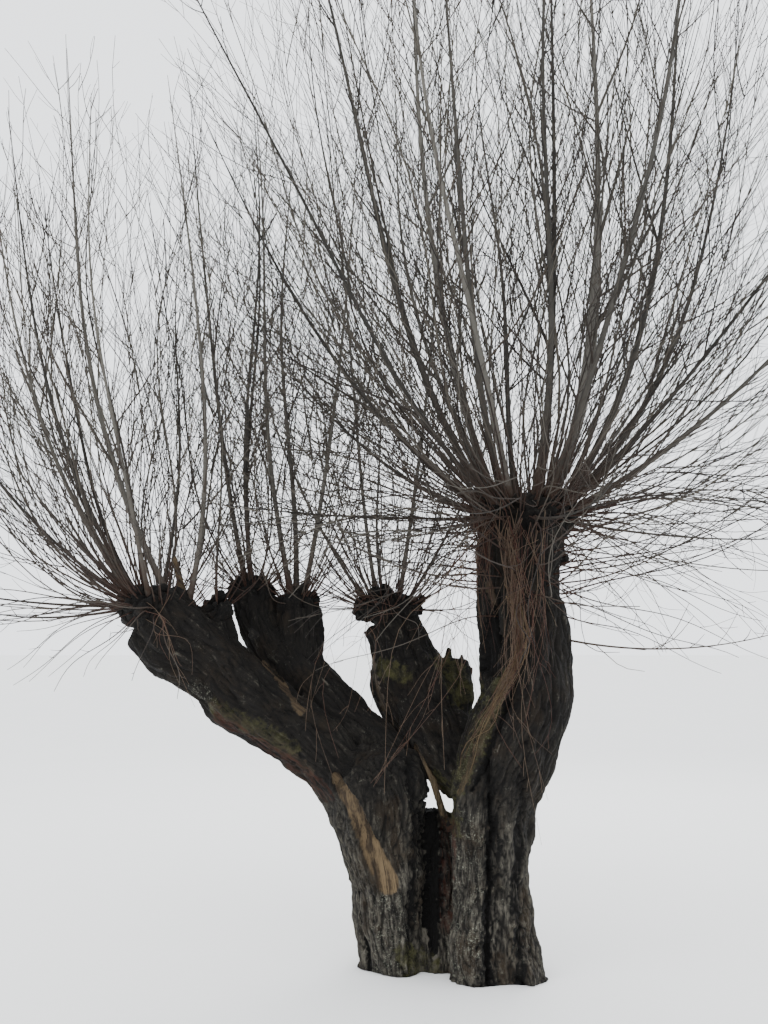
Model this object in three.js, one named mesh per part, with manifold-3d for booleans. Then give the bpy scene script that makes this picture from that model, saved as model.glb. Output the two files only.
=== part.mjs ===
// A pollard willow in winter: an old trunk that has split in two, its boughs, the knobbly heads
// that years of cutting have left on them, and the bare rods that stand out of the heads.
// Millimetres, +Z up. The tree is looked at along +Y, with +X to the right.
// The origin is in the flat cut at ground level, between the two halves of the trunk.

import * as THREE from "three";
import { mergeVertices } from "three/addons/utils/BufferGeometryUtils.js";
import Module from "manifold-3d";

const wasm = await Module();
wasm.setup();

// Gaps: the seat between two neighbouring solids, and the least room between twigs of two rods
const SEAT = 0.3;
const ROD_ROOM = 5;
const LIMB_ROOM = 12;

// How finely the solids are faceted
const LIMB_SIDES = 12;
const SLIM_SIDES = 8;
const RINGS_PER_STATION = 2;
const ROD_SIDES = 4;
const ROD_RINGS = 6;
const TWIG_SIDES = 3;
const BENT_TWIG = 430; // a shorter twig is straight

// Old wood. A limb's path has a point for each station; wide is its half width there, across the
// view, and depth the share of that which it measures along the view.
const RIGHT_STEM = {
  path: [
    [225, -60, 0], [208, -60, 160], [200, -60, 400], [200, -60, 640], [222, -60, 840],
    [302, -58, 1075], [384, -55, 1300], [388, -52, 1600], [366, -50, 1810], [378, -50, 2010],
    [412, -50, 2200],
  ],
  wide: [240, 212, 198, 204, 210, 234, 218, 222, 216, 204, 234],
  depth: 0.92, flutes: 0.05, buttress: 0.1, seed: 11,
};
const LEFT_STEM = {
  path: [
    [-270, 60, 0], [-282, 60, 160], [-304, 60, 400], [-338, 55, 600], [-356, 50, 760],
    [-378, 50, 900], [-405, 50, 1010], [-410, 50, 1075],
  ],
  wide: [170, 172, 192, 206, 238, 246, 168, 70],
  depth: 1.08, flutes: 0.05, buttress: 0.12, seed: 5,
};
const WEB = {
  path: [[-30, 50, 0], [-52, 118, 280], [-60, 138, 560], [-55, 145, 735]],
  wide: [165, 135, 120, 95],
  depth: 0.85, flutes: 0.04, buttress: 0, seed: 3,
};
const RIDGE = {
  path: [
    [42, -112, 835], [122, -178, 1080], [200, -212, 1270], [254, -240, 1400], [275, -250, 1600],
    [285, -250, 1800],
  ],
  wide: [46, 46, 44, 42, 38, 30],
  depth: 1, flutes: 0.05, buttress: 0, seed: 9,
};
const LEFT_ARM = {
  path: [
    [-400, 40, 700], [-575, 20, 960], [-770, 0, 1125], [-975, -15, 1265], [-1180, -30, 1450],
    [-1355, -42, 1600], [-1500, -52, 1722],
  ],
  wide: [150, 157, 162, 176, 184, 188, 178],
  depth: 0.85, flutes: 0.06, buttress: 0, seed: 21,
};
const MIDDLE_ARM = {
  path: [
    [-235, 90, 760], [-375, 140, 1000], [-500, 170, 1125], [-625, 190, 1240], [-735, 205, 1370],
    [-830, 215, 1500],
  ],
  wide: [160, 158, 152, 146, 144, 128],
  depth: 0.9, flutes: 0.06, buttress: 0, seed: 31,
};
const BACK_ARM = {
  path: [
    [150, 0, 850], [30, 150, 1005], [-84, 260, 1200], [-178, 320, 1390], [-238, 350, 1570],
    [-298, 360, 1715],
  ],
  wide: [108, 180, 214, 212, 176, 166],
  depth: 0.8, flutes: 0.06, buttress: 0, seed: 41,
};
const BROKEN_STUB = {
  path: [[10, 230, 1150], [48, 285, 1330], [66, 315, 1500]],
  wide: [105, 102, 70],
  depth: 0.8, flutes: 0.08, buttress: 0, seed: 43,
};
const KNOB_NECK = {
  path: [[-1115, -25, 1470], [-1155, -22, 1600], [-1178, -20, 1720]],
  wide: [84, 76, 62],
  depth: 1, flutes: 0.05, buttress: 0, seed: 51,
};
const LEFT_FORK = {
  path: [[-840, 215, 1430], [-940, 205, 1570], [-1000, 200, 1700], [-1030, 200, 1830]],
  wide: [106, 106, 106, 104],
  depth: 1, flutes: 0.05, buttress: 0, seed: 53,
};
const RIGHT_FORK = {
  path: [[-765, 222, 1440], [-784, 228, 1600], [-794, 230, 1775]],
  wide: [126, 124, 120],
  depth: 1, flutes: 0.05, buttress: 0, seed: 55,
};
const TRUNK_TOP = 0.36; // where the right stem leaves the trunk, as a share of its stations
const RIGHT_NECK = 0.9; // where a limb gives way to its head
const ARM_NECK = 0.86;
const HOLLOW = { centre: [212, -190, 1590], size: [46, 90, 215] };
const BURL = { at: [562, -50, 2015], radius: 72 };

// Heads: knuckles stand in a ring round the centre, on a spread across and along the view,
// and tilt lifts the ring's left side above its right.
const HEADS = {
  left: { centre: [-1468, -50, 1745], spread: [122, 84], knuckle: 88, count: 6, tilt: 36, seed: 61 },
  knob: { centre: [-1182, -20, 1732], spread: [16, 14], knuckle: 64, count: 2, tilt: 0, seed: 63 },
  fork_left: { centre: [-1032, 200, 1856], spread: [50, 44], knuckle: 64, count: 4, tilt: 0, seed: 65 },
  fork_right: { centre: [-795, 230, 1795], spread: [58, 52], knuckle: 70, count: 5, tilt: 0, seed: 67 },
  back: { centre: [-303, 360, 1772], spread: [110, 84], knuckle: 84, count: 5, tilt: 0, seed: 69 },
  upper: { centre: [412, -50, 2225], spread: [160, 135], knuckle: 104, count: 7, tilt: 0, seed: 71 },
};
const KNUCKLE_SIDES = 8;
const KNUCKLE_ROWS = 4;
const KNUCKLE_UNEVEN = 0.09;
const KNUCKLE_LIFT = 0.2; // up or down, as a share of its radius
const KNUCKLE_SCATTER = 0.14;
const CORE_SIZE = 1.12; // the middle knuckle, which the ring stands round

// Rods, row by row for each head. A row gives one rod's heading, in degrees from +X towards +Y, or
// shares its count out over an arc of headings. A rod leans from the vertical by lean at its foot
// and by tip at its end, and the higher the sweep, the sooner it turns up. Out is how far from the
// head's centre it starts, in shares of the spread.
const TIERS = {
  upper: [
    { name: "mast", heading: 5, lean: 25, tip: 0, sweep: 5, out: 0.6, length: 4400, foot: 31 },
    { name: "straight", heading: 350, lean: 10, tip: 0, sweep: 4, out: 0.3, length: 4150, foot: 24 },
    { name: "near_left", heading: 190, lean: 17, tip: 2, sweep: 4, out: 0.6, length: 4100, foot: 25 },
    { name: "mid_left", heading: 170, lean: 22, tip: 1.5, sweep: 3, out: 0.75, length: 4250, foot: 26 },
    { name: "far_left", heading: 184, lean: 37, tip: 12, sweep: 4, out: 0.85, length: 4000, foot: 24 },
    { name: "wide_left", heading: 176, lean: 56, tip: 24, sweep: 2, out: 0.95, length: 3000, foot: 19 },
    { name: "mid_right", heading: -8, lean: 38, tip: 3, sweep: 2.8, out: 0.85, length: 3850, foot: 25 },
    { name: "far_right", heading: 8, lean: 50, tip: 4, sweep: 1.5, out: 0.9, length: 3600, foot: 24 },
    { name: "wide_right", heading: -4, lean: 62, tip: 34, sweep: 1.4, out: 0.95, length: 2900, foot: 19 },
    { name: "front", count: 3, arc: [215, 325], lean: 40, tip: 7, sweep: 2.1, length: 3700, foot: 21 },
    { name: "rear", count: 3, arc: [35, 145], lean: 40, tip: 7, sweep: 2.1, length: 3700, foot: 21 },
    { name: "low", count: 4, arc: [0, 360], lean: 66, tip: 34, sweep: 1.4, length: 2850, foot: 16 },
    { name: "skirt", count: 4, arc: [-45, 315], lean: 96, tip: 82, sweep: 1, length: 1550, foot: 9 },
  ],
  left: [
    { name: "leader", heading: 178, lean: 31, tip: 4, sweep: 2, out: -0.85, length: 3300, foot: 21 },
    { name: "inner", heading: 184, lean: -14, tip: 9, sweep: 3, out: -1, length: 3080, foot: 18 },
    { name: "outer", heading: 186, lean: 46, tip: 8, sweep: 2, out: 0.5, length: 2750, foot: 17 },
    { name: "wide", heading: 176, lean: 64, tip: 30, sweep: 1.6, out: 0.8, length: 1900, foot: 13 },
    { name: "round", count: 4, arc: [75, 285], lean: 37, tip: 8, sweep: 2, length: 2500, foot: 15 },
    { name: "skirt", count: 2, arc: [150, 225], lean: 92, tip: 76, sweep: 1, length: 1150, foot: 9 },
  ],
  knob: [
    { name: "leader", heading: 110, lean: 16, tip: 6, sweep: 2, out: 0.45, length: 1800, foot: 9 },
  ],
  fork_left: [
    { name: "leader", count: 3, arc: [60, 290], lean: 13, tip: 5, sweep: 2, length: 2750, foot: 17 },
  ],
  fork_right: [
    { name: "leader", count: 3, arc: [-60, 270], lean: 11, tip: 3, sweep: 2, length: 2950, foot: 18 },
  ],
  back: [
    { name: "leader", count: 2, arc: [-90, 240], lean: 11, tip: 3, sweep: 2, length: 2700, foot: 14 },
    { name: "outer", count: 3, arc: [10, 180], lean: 48, tip: 15, sweep: 2, length: 2400, foot: 12 },
  ],
};
const INNER_OUT = 0.35; // where an upright rod starts, in shares of the head's spread
const WIDEST_OUT = 0.95; // and one that leans as far as this or further
const WIDEST_LEAN = 50;
const HEADING_SCATTER = 7; // degrees
const LEAN_SCATTER = 0.12; // shares of the row's own figure
const LENGTH_SCATTER = 0.07;
const LONE_SCATTER = 0.3; // a rod with a row to itself keeps this much closer to its figures
const ROD_SWAY = 0.085; // how strongly a rod wanders to its sides, and over how many radians
const SWAY_TURN = 7;
const ROD_STEPS = 48; // steps that a rod's sweep is worked out in
const TURN_STEP = 9; // degrees that a rod is turned by while another is in its way
const TURNS = 40;
const ROD_TIP = 3;
const ROD_TAPER = 0.85;

// Whips that start on the right stem itself: a thin one low on its outer side, and the brush
// that hangs down its front.
const STEM_RODS = {
  side_whip: { foot: [450, -50, 1640], heading: -6, lean: 106, tip: 72, sweep: 1, length: 1300 },
  brush_left: { foot: [270, -170, 2040], heading: 250, lean: 120, tip: 178, sweep: 4, length: 950 },
  brush_right: { foot: [400, -190, 2030], heading: 275, lean: 118, tip: 176, sweep: 4, length: 1150 },
};
const WHIP_SIZE = 8;

// Twigs along a rod
const TWIG_SPACING = 340;
const FIRST_TWIG = 0.2; // shares of the rod's length
const LAST_TWIG = 0.97;
const TWIG_ANGLE = 40; // degrees from the rod
const TWIG_RISE = 0.55; // how strongly a twig turns up towards the light
const TWIG_LENGTH = 0.27; // shares of the rod's length, at the first twig
const TWIG_TAPER = 0.6;
const TWIG_BEND = 0.45; // where it bends upwards, as a share of its length
const TWIG_LOWEST = 60; // no twig ends nearer the ground
const TWIG_FOOT = 0.42; // shares of the rod's own radius there
const TWIG_LEAST = 2.6;
const TWIG_TIP = 1.6;
const GOLDEN_TURN = 137.5;

const COLOURS = {
  bark: { color: 0x4a443c, roughness: 0.95, metalness: 0 },
  head: { color: 0x37322c, roughness: 1, metalness: 0 },
  rod: { color: 0x6d6a5c, roughness: 0.8, metalness: 0 },
  brush: { color: 0x7d5b45, roughness: 0.85, metalness: 0 },
};

const UP = new THREE.Vector3(0, 0, 1);
const vec = (p) => new THREE.Vector3(...p);
const rad = THREE.MathUtils.degToRad;

// Numbers from 0 to 1 that are the same for the same seed.
function randomSource(seed) {
  let state = (seed * 2654435761 + 97) >>> 0;
  return () => {
    state ^= state << 13;
    state >>>= 0;
    state ^= state >>> 17;
    state ^= state << 5;
    state >>>= 0;
    return state / 4294967296;
  };
}

// A closed solid from a geometry whose shared vertices are merged.
function solidOf(geometry) {
  const bare = geometry.clone();
  bare.deleteAttribute("normal");
  bare.deleteAttribute("uv");
  const merged = mergeVertices(bare, 1e-3);
  return new wasm.Manifold(
    new wasm.Mesh({
      numProp: 3,
      vertProperties: new Float32Array(merged.attributes.position.array),
      triVerts: new Uint32Array(merged.index.array),
    }),
  );
}

function geometryOf(solid) {
  const mesh = solid.getMesh();
  const geometry = new THREE.BufferGeometry();
  geometry.setAttribute("position", new THREE.BufferAttribute(mesh.vertProperties, 3));
  geometry.setIndex(new THREE.BufferAttribute(mesh.triVerts, 1));
  geometry.computeVertexNormals();
  return geometry;
}

const joined = (solids) => solids.reduce((all, one) => all.add(one));

// The solid's largest body: scraps that a cut leaves loose are dropped.
function largestBody(solid) {
  return solid.decompose().reduce((best, one) => (one.volume() > best.volume() ? one : best));
}

// A cylinder bent along rings: ring(share) gives the centre, the two directions across it and the
// radii in them, and swell(angle, share) scales the radii.
function bentCylinder(sides, rings, ring, swell = () => 1) {
  const geometry = new THREE.CylinderGeometry(1, 1, 1, sides, rings);
  const position = geometry.attributes.position;
  for (let i = 0; i < position.count; i++) {
    const share = Math.round((position.getY(i) + 0.5) * rings) / rings;
    const { centre, across, along, wide, deep } = ring(share);
    const angle = Math.atan2(-position.getZ(i), position.getX(i));
    const out = Math.hypot(position.getX(i), position.getZ(i)) * swell(angle, share);
    const point = centre
      .clone()
      .addScaledVector(across, Math.cos(angle) * out * wide)
      .addScaledVector(along, Math.sin(angle) * out * deep);
    position.setXYZ(i, point.x, point.y, point.z);
  }
  return solidOf(geometry);
}

// Two directions at right angles to a heading: across the view and along it.
function crossDirections(heading, view) {
  const along = view.clone().addScaledVector(heading, -view.dot(heading)).normalize();
  return { across: along.clone().cross(heading).normalize(), along };
}

// A tapering limb of old wood, fluted lengthwise and spreading into buttresses at the ground.
class Limb {
  constructor(spec) {
    Object.assign(this, spec);
    this.curve = new THREE.CatmullRomCurve3(spec.path.map(vec), false, "catmullrom", 0.5);
    const sizes = spec.wide.map((w) => new THREE.Vector3(w, 0, 0));
    this.sizes = new THREE.CatmullRomCurve3(sizes, false, "catmullrom", 0.5);
    const random = randomSource(spec.seed);
    this.phases = [2, 3, 5].map(() => random() * 2 * Math.PI);
  }

  swell(angle, t) {
    const [two, three, five] = this.phases;
    const fluting =
      Math.sin(2 * angle + two + 3 * t) * 0.5 +
      Math.sin(3 * angle + three - 4 * t) * 0.6 +
      Math.sin(5 * angle + five + 2 * t) * 0.5;
    const spread = this.buttress * Math.exp((-9 * t * this.path.length) / 11);
    return 1 + this.flutes * fluting + spread * (0.5 + Math.cos(4 * angle + three));
  }

  // The stretch between two shares of the limb, all round larger by grow.
  solid({ from = 0, to = 1, grow = 0 } = {}) {
    const rings = Math.max(2, Math.round((this.path.length - 1) * (to - from) * RINGS_PER_STATION));
    const view = new THREE.Vector3(0, 1, 0);
    const ring = (share) => {
      const t = from + (to - from) * share;
      const heading = this.curve.getTangent(t);
      if (t === 0 && this.path[0][2] === 0) heading.copy(UP);
      const centre = this.curve.getPoint(t);
      if (share === 0) centre.addScaledVector(heading, -grow);
      if (share === 1) centre.addScaledVector(heading, grow);
      const wide = this.sizes.getPoint(t).x;
      const directions = crossDirections(heading, view);
      return { centre, ...directions, wide: wide + grow, deep: wide * this.depth + grow };
    };
    const swell = (angle, share) => this.swell(angle, from + (to - from) * share);
    const sides = Math.max(...this.wide) < 110 ? SLIM_SIDES : LIMB_SIDES;
    return bentCylinder(sides, rings, ring, swell);
  }

  // Round-ended bars that cover the limb, for keeping twigs clear of it.
  bars() {
    const count = (this.path.length - 1) * RINGS_PER_STATION;
    const at = (i) => this.curve.getPoint(i / count);
    return Array.from({ length: count }, (_, i) => ({
      a: at(i), b: at(i + 1), radius: this.sizes.getPoint((i + 0.5) / count).x * 1.08,
    }));
  }
}

// The knuckles of a head: where each is and its radius.
function knucklesOf({ centre, spread, knuckle, count, tilt, seed }) {
  const random = randomSource(seed);
  const ring = Array.from({ length: count }, (_, i) => {
    const angle = (2 * Math.PI * (i + 0.5 * random())) / count;
    const lift = (2 * random() - 1) * KNUCKLE_LIFT * knuckle - tilt * Math.cos(angle);
    const at = [
      centre[0] + spread[0] * Math.cos(angle),
      centre[1] + spread[1] * Math.sin(angle),
      centre[2] + lift,
    ];
    return { at, radius: knuckle * (1 + KNUCKLE_SCATTER * (2 * random() - 1)) };
  });
  return [...ring, { at: centre, radius: knuckle * CORE_SIZE }];
}

// A lumpy ball for one knuckle.
function knuckleSolid({ at, radius }, seed, grow = 0) {
  const random = randomSource(seed);
  const phases = [1, 2, 3].map(() => random() * 2 * Math.PI);
  const geometry = new THREE.SphereGeometry(1, KNUCKLE_SIDES, KNUCKLE_ROWS);
  const position = geometry.attributes.position;
  const point = new THREE.Vector3();
  for (let i = 0; i < position.count; i++) {
    point.fromBufferAttribute(position, i);
    const lump =
      Math.sin(3 * point.x + phases[0]) + Math.sin(4 * point.y + phases[1]) +
      Math.sin(3 * point.z + phases[2]);
    point.multiplyScalar(radius * (1 + KNUCKLE_UNEVEN * lump) + grow).add(vec(at));
    position.setXYZ(i, point.x, point.y, point.z);
  }
  return solidOf(geometry);
}

function headSolid(head, neck, grow = 0) {
  const knuckles = knucklesOf(head).map((k, i) => knuckleSolid(k, head.seed + i, grow));
  return joined([...knuckles, neck]);
}

// The shortest distance between the segments a-b and c-d.
function segmentGap(a, b, c, d) {
  const u = b.clone().sub(a);
  const v = d.clone().sub(c);
  const w = a.clone().sub(c);
  const uu = u.dot(u);
  const uv = u.dot(v);
  const vv = v.dot(v);
  const uw = u.dot(w);
  const vw = v.dot(w);
  const flat = uu * vv - uv * uv;
  const clamp = THREE.MathUtils.clamp;
  let s = flat > 1e-9 ? clamp((uv * vw - vv * uw) / flat, 0, 1) : 0;
  const t = clamp((uv * s + vw) / vv, 0, 1);
  s = clamp((uv * t - uw) / uu, 0, 1);
  return w.addScaledVector(u, s).addScaledVector(v, -t).length();
}

const barGap = (one, two) => segmentGap(one.a, one.b, two.a, two.b) - one.radius - two.radius;
const clearOf = (bars, others, room) =>
  bars.every((bar) => others.every((other) => barGap(bar, other) >= room));

// A direction that leans from the vertical towards a heading.
function leaning(heading, lean) {
  const h = rad(heading);
  const l = rad(lean);
  return new THREE.Vector3(Math.sin(l) * Math.cos(h), Math.sin(l) * Math.sin(h), Math.cos(l));
}

// The line of a rod: it sets out at its lean and sweeps up to its tip's lean, most of it low down.
function rodLine({ foot, heading, lean, tip, sweep, length, sway }) {
  const points = [vec(foot)];
  const side = leaning(heading + 90, 90);
  for (let i = 1; i <= ROD_STEPS; i++) {
    const left = 1 - (i - 0.5) / ROD_STEPS;
    const step = leaning(heading, tip + (lean - tip) * left ** sweep);
    const wander = ROD_SWAY * Math.cos(sway + (SWAY_TURN * i) / ROD_STEPS);
    step.addScaledVector(side, wander).normalize();
    points.push(points[i - 1].clone().addScaledVector(step, length / ROD_STEPS));
  }
  return points;
}

const rodRadius = (rod, share) => ROD_TIP + (rod.size - ROD_TIP) * (1 - share) ** ROD_TAPER;

// Round-ended bars that cover a rod from where it comes out of the wood.
function rodBars(rod, buried) {
  const at = (i) => rod.line[(i * ROD_STEPS) / ROD_RINGS];
  const bars = Array.from({ length: ROD_RINGS }, (_, i) => ({
    a: at(i), b: at(i + 1), radius: rodRadius(rod, i / ROD_RINGS),
  }));
  bars[0].a = at(0).clone().lerp(at(1), (buried * ROD_RINGS) / rod.length);
  return bars;
}

// A tapered bar of few sides through the given points.
function taperedBar(points, radii, sides) {
  const last = points.length - 1;
  const run = points[last].clone().sub(points[0]).normalize();
  const view = Math.abs(run.y) < 0.8 ? new THREE.Vector3(0, 1, 0) : new THREE.Vector3(1, 0, 0);
  const ring = (share) => {
    const i = Math.round(share * last);
    const before = points[Math.max(0, i - 1)];
    const after = points[Math.min(last, i + 1)];
    const heading = after.clone().sub(before).normalize();
    const directions = crossDirections(heading, view);
    return { centre: points[i], ...directions, wide: radii[i], deep: radii[i] };
  };
  return bentCylinder(sides, last, ring);
}

// The rods of one row, each with its own scatter.
function rowRods(headName, row, rowIndex) {
  const head = HEADS[headName];
  const random = randomSource(900 + 37 * rowIndex + head.seed);
  const count = row.count ?? 1;
  const [start, end] = row.arc ?? [row.heading, row.heading];
  const loose = row.arc ? 1 : LONE_SCATTER;
  const scatter = (share) => loose * share * (2 * random() - 1);
  const widest = Math.min(1, row.lean / WIDEST_LEAN);
  return Array.from({ length: count }, (_, i) => ({
    name: `${headName}_${row.name}_rod${row.arc ? `_${i + 1}` : ""}`,
    head,
    out: row.out ?? INNER_OUT + (WIDEST_OUT - INNER_OUT) * widest,
    heading: start + ((end - start) * (i + 0.5)) / count + scatter(HEADING_SCATTER),
    lean: row.lean * (1 + scatter(LEAN_SCATTER)),
    tip: row.tip,
    sweep: row.sweep,
    length: row.length * (1 + scatter(LENGTH_SCATTER)),
    size: row.foot * (1 + scatter(LENGTH_SCATTER)),
    sway: random() * 2 * Math.PI,
  }));
}

function footOn(head, out, heading) {
  const h = rad(heading);
  return [
    head.centre[0] + head.spread[0] * out * Math.cos(h),
    head.centre[1] + head.spread[1] * out * Math.sin(h),
    head.centre[2] - head.tilt * Math.cos(h) * out,
  ];
}

// Every rod, each turned about its head until no other rod is in its way.
function growRods() {
  const rods = [];
  const wanted = Object.entries(TIERS).flatMap(([head, rows]) =>
    rows.flatMap((row, i) => rowRods(head, row, i)),
  );
  for (const rod of wanted) {
    for (let turn = 0; turn < TURNS; turn++) {
      const swing = TURN_STEP * Math.ceil(turn / 2) * (turn % 2 ? 1 : -1);
      const heading = rod.heading + swing;
      const placed = { ...rod, heading, foot: footOn(rod.head, rod.out, heading) };
      placed.line = rodLine(placed);
      placed.bars = rodBars(placed, rod.head.knuckle);
      if (rods.every((other) => clearOf(placed.bars, other.bars, ROD_ROOM))) {
        rods.push(placed);
        break;
      }
    }
  }
  for (const [name, spec] of Object.entries(STEM_RODS)) {
    const rod = { name, ...spec, size: WHIP_SIZE, sway: spec.heading };
    rod.line = rodLine(rod);
    rod.bars = rodBars(rod, 0);
    rods.push(rod);
  }
  return rods;
}

// The twigs of a rod, wound round it by the golden turn. One that comes too near another rod, its
// twigs or a limb is skipped.
function growTwigs(rod, index, rods, limbBars) {
  const random = randomSource(4000 + 53 * index);
  const count = Math.round((rod.length * (LAST_TWIG - FIRST_TWIG)) / TWIG_SPACING);
  const others = rods.filter((other) => other !== rod).flatMap((other) => other.bars);
  const twigs = [];
  for (let i = 0; i < count; i++) {
    const share = FIRST_TWIG + ((LAST_TWIG - FIRST_TWIG) * (i + 0.8 * random())) / count;
    const turn = rad(GOLDEN_TURN * (i + 3 * random()));
    const reach = TWIG_LENGTH * rod.length * (1 - share) ** TWIG_TAPER * (0.75 + 0.5 * random());
    const at = Math.floor(share * ROD_RINGS);
    const from = rod.line[(at * ROD_STEPS) / ROD_RINGS];
    const to = rod.line[((at + 1) * ROD_STEPS) / ROD_RINGS];
    const foot = from.clone().lerp(to, share * ROD_RINGS - at);
    const heading = to.clone().sub(from).normalize();
    const { across, along } = crossDirections(heading, vec([0.3, 0.9, 0.2]).normalize());
    const out = across.multiplyScalar(Math.cos(turn)).addScaledVector(along, Math.sin(turn));
    const first = heading
      .clone()
      .multiplyScalar(Math.cos(rad(TWIG_ANGLE)))
      .addScaledVector(out, Math.sin(rad(TWIG_ANGLE)));
    const second = first.clone().addScaledVector(UP, TWIG_RISE).normalize();
    const bend = foot.clone().addScaledVector(first, reach * TWIG_BEND);
    const end = bend.clone().addScaledVector(second, reach * (1 - TWIG_BEND));
    const size = Math.max(TWIG_LEAST, TWIG_FOOT * rodRadius(rod, share));
    const middle = (size + TWIG_TIP) / 2;
    const bars = [
      { a: foot, b: bend, radius: size },
      { a: bend, b: end, radius: middle },
    ];
    if (end.z < TWIG_LOWEST) continue;
    if (!clearOf(bars, others, ROD_ROOM) || !clearOf(bars, limbBars, LIMB_ROOM)) continue;
    const bent = reach > BENT_TWIG;
    const points = bent ? [foot, bend, end] : [foot, end];
    twigs.push(taperedBar(points, bent ? [size, middle, TWIG_TIP] : [size, TWIG_TIP], TWIG_SIDES));
    rod.bars.push(...bars);
  }
  return twigs;
}

function rodSolid(rod, twigs) {
  const shares = Array.from({ length: ROD_RINGS + 1 }, (_, i) => i / ROD_RINGS);
  const points = shares.map((share) => rod.line[share * ROD_STEPS]);
  const radii = shares.map((share) => rodRadius(rod, share));
  return joined([taperedBar(points, radii, ROD_SIDES), ...twigs]);
}

const limbs = {
  rightStem: new Limb(RIGHT_STEM),
  leftStem: new Limb(LEFT_STEM),
  web: new Limb(WEB),
  ridge: new Limb(RIDGE),
  leftArm: new Limb(LEFT_ARM),
  middleArm: new Limb(MIDDLE_ARM),
  backArm: new Limb(BACK_ARM),
  brokenStub: new Limb(BROKEN_STUB),
  knobNeck: new Limb(KNOB_NECK),
  leftFork: new Limb(LEFT_FORK),
  rightFork: new Limb(RIGHT_FORK),
};

// Everything below the ground, for the flat cut.
function groundBlock() {
  const size = 2000;
  return solidOf(new THREE.BoxGeometry(size, size, size).translate(0, 0, -size / 2));
}

function hollowSolid(grow) {
  const ball = new THREE.SphereGeometry(1, 8, 6).scale(...HOLLOW.size.map((size) => size - grow));
  return solidOf(ball.translate(...HOLLOW.centre));
}

// The old wood. Each builder gives its solid all round larger by grow, which is what its
// neighbours are cut back by, so that they seat on it a hair's breadth clear.
const oldWood = {
  trunk: (grow) =>
    joined([
      limbs.leftStem.solid({ grow }),
      limbs.rightStem.solid({ to: TRUNK_TOP, grow }),
      limbs.web.solid({ grow }),
    ]).subtract(groundBlock()),
  right_stem: (grow) => {
    const stem = limbs.rightStem.solid({ from: TRUNK_TOP, to: RIGHT_NECK, grow });
    const burl = knuckleSolid(BURL, 77, grow);
    return joined([stem, limbs.ridge.solid({ grow }), burl]).subtract(hollowSolid(grow));
  },
  upper_head: (grow) => headSolid(HEADS.upper, limbs.rightStem.solid({ from: RIGHT_NECK, grow }), grow),
  left_arm: (grow) => limbs.leftArm.solid({ to: ARM_NECK, grow }),
  left_head: (grow) => headSolid(HEADS.left, limbs.leftArm.solid({ from: ARM_NECK, grow }), grow),
  knob_head: (grow) => headSolid(HEADS.knob, limbs.knobNeck.solid({ grow }), grow),
  middle_arm: (grow) => limbs.middleArm.solid({ grow }),
  fork_left_head: (grow) => headSolid(HEADS.fork_left, limbs.leftFork.solid({ grow }), grow),
  fork_right_head: (grow) => headSolid(HEADS.fork_right, limbs.rightFork.solid({ grow }), grow),
  back_arm: (grow) =>
    joined([limbs.backArm.solid({ to: ARM_NECK, grow }), limbs.brokenStub.solid({ grow })]),
  back_head: (grow) => headSolid(HEADS.back, limbs.backArm.solid({ from: ARM_NECK, grow }), grow),
};

const tree = new THREE.Group();

function addNode(name, solid, colour) {
  const mesh = new THREE.Mesh(geometryOf(solid), new THREE.MeshStandardMaterial(colour));
  mesh.name = name;
  tree.add(mesh);
}

// The old wood is seated piece by piece on what is already there.
const grown = [];
for (const [name, build] of Object.entries(oldWood)) {
  const seated = grown.reduce((solid, neighbour) => solid.subtract(neighbour), build(0));
  addNode(name, largestBody(seated), name.endsWith("head") ? COLOURS.head : COLOURS.bark);
  grown.push(build(SEAT));
}

// A knuckle as a very short bar, for keeping twigs clear of it.
function knuckleBar({ at, radius }) {
  return { a: vec(at), b: vec(at).add(UP), radius: radius * (1 + 2 * KNUCKLE_UNEVEN) };
}

const rods = growRods();
const headBars = Object.values(HEADS).flatMap((head) => knucklesOf(head).map(knuckleBar));
const limbBars = [...Object.values(limbs).flatMap((limb) => limb.bars()), ...headBars];
for (const [i, rod] of rods.entries()) {
  const whole = rodSolid(rod, growTwigs(rod, i, rods, limbBars));
  const seated = grown.reduce((solid, neighbour) => solid.subtract(neighbour), whole);
  addNode(rod.name, largestBody(seated), rod.name.startsWith("brush") ? COLOURS.brush : COLOURS.rod);
}

export default tree;
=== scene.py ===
"""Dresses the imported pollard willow: furrowed old wood, corky heads and a bare winter crown.

Metres, +Z up; the tree is looked at along +Y. Limbs, heads and rods follow the same rule and the
same figures, in millimetres, as the solids that they replace.
"""

import logging
import math
from dataclasses import dataclass, field, fields
from enum import Enum
from itertools import product
from typing import Any, Iterable, Iterator

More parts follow.
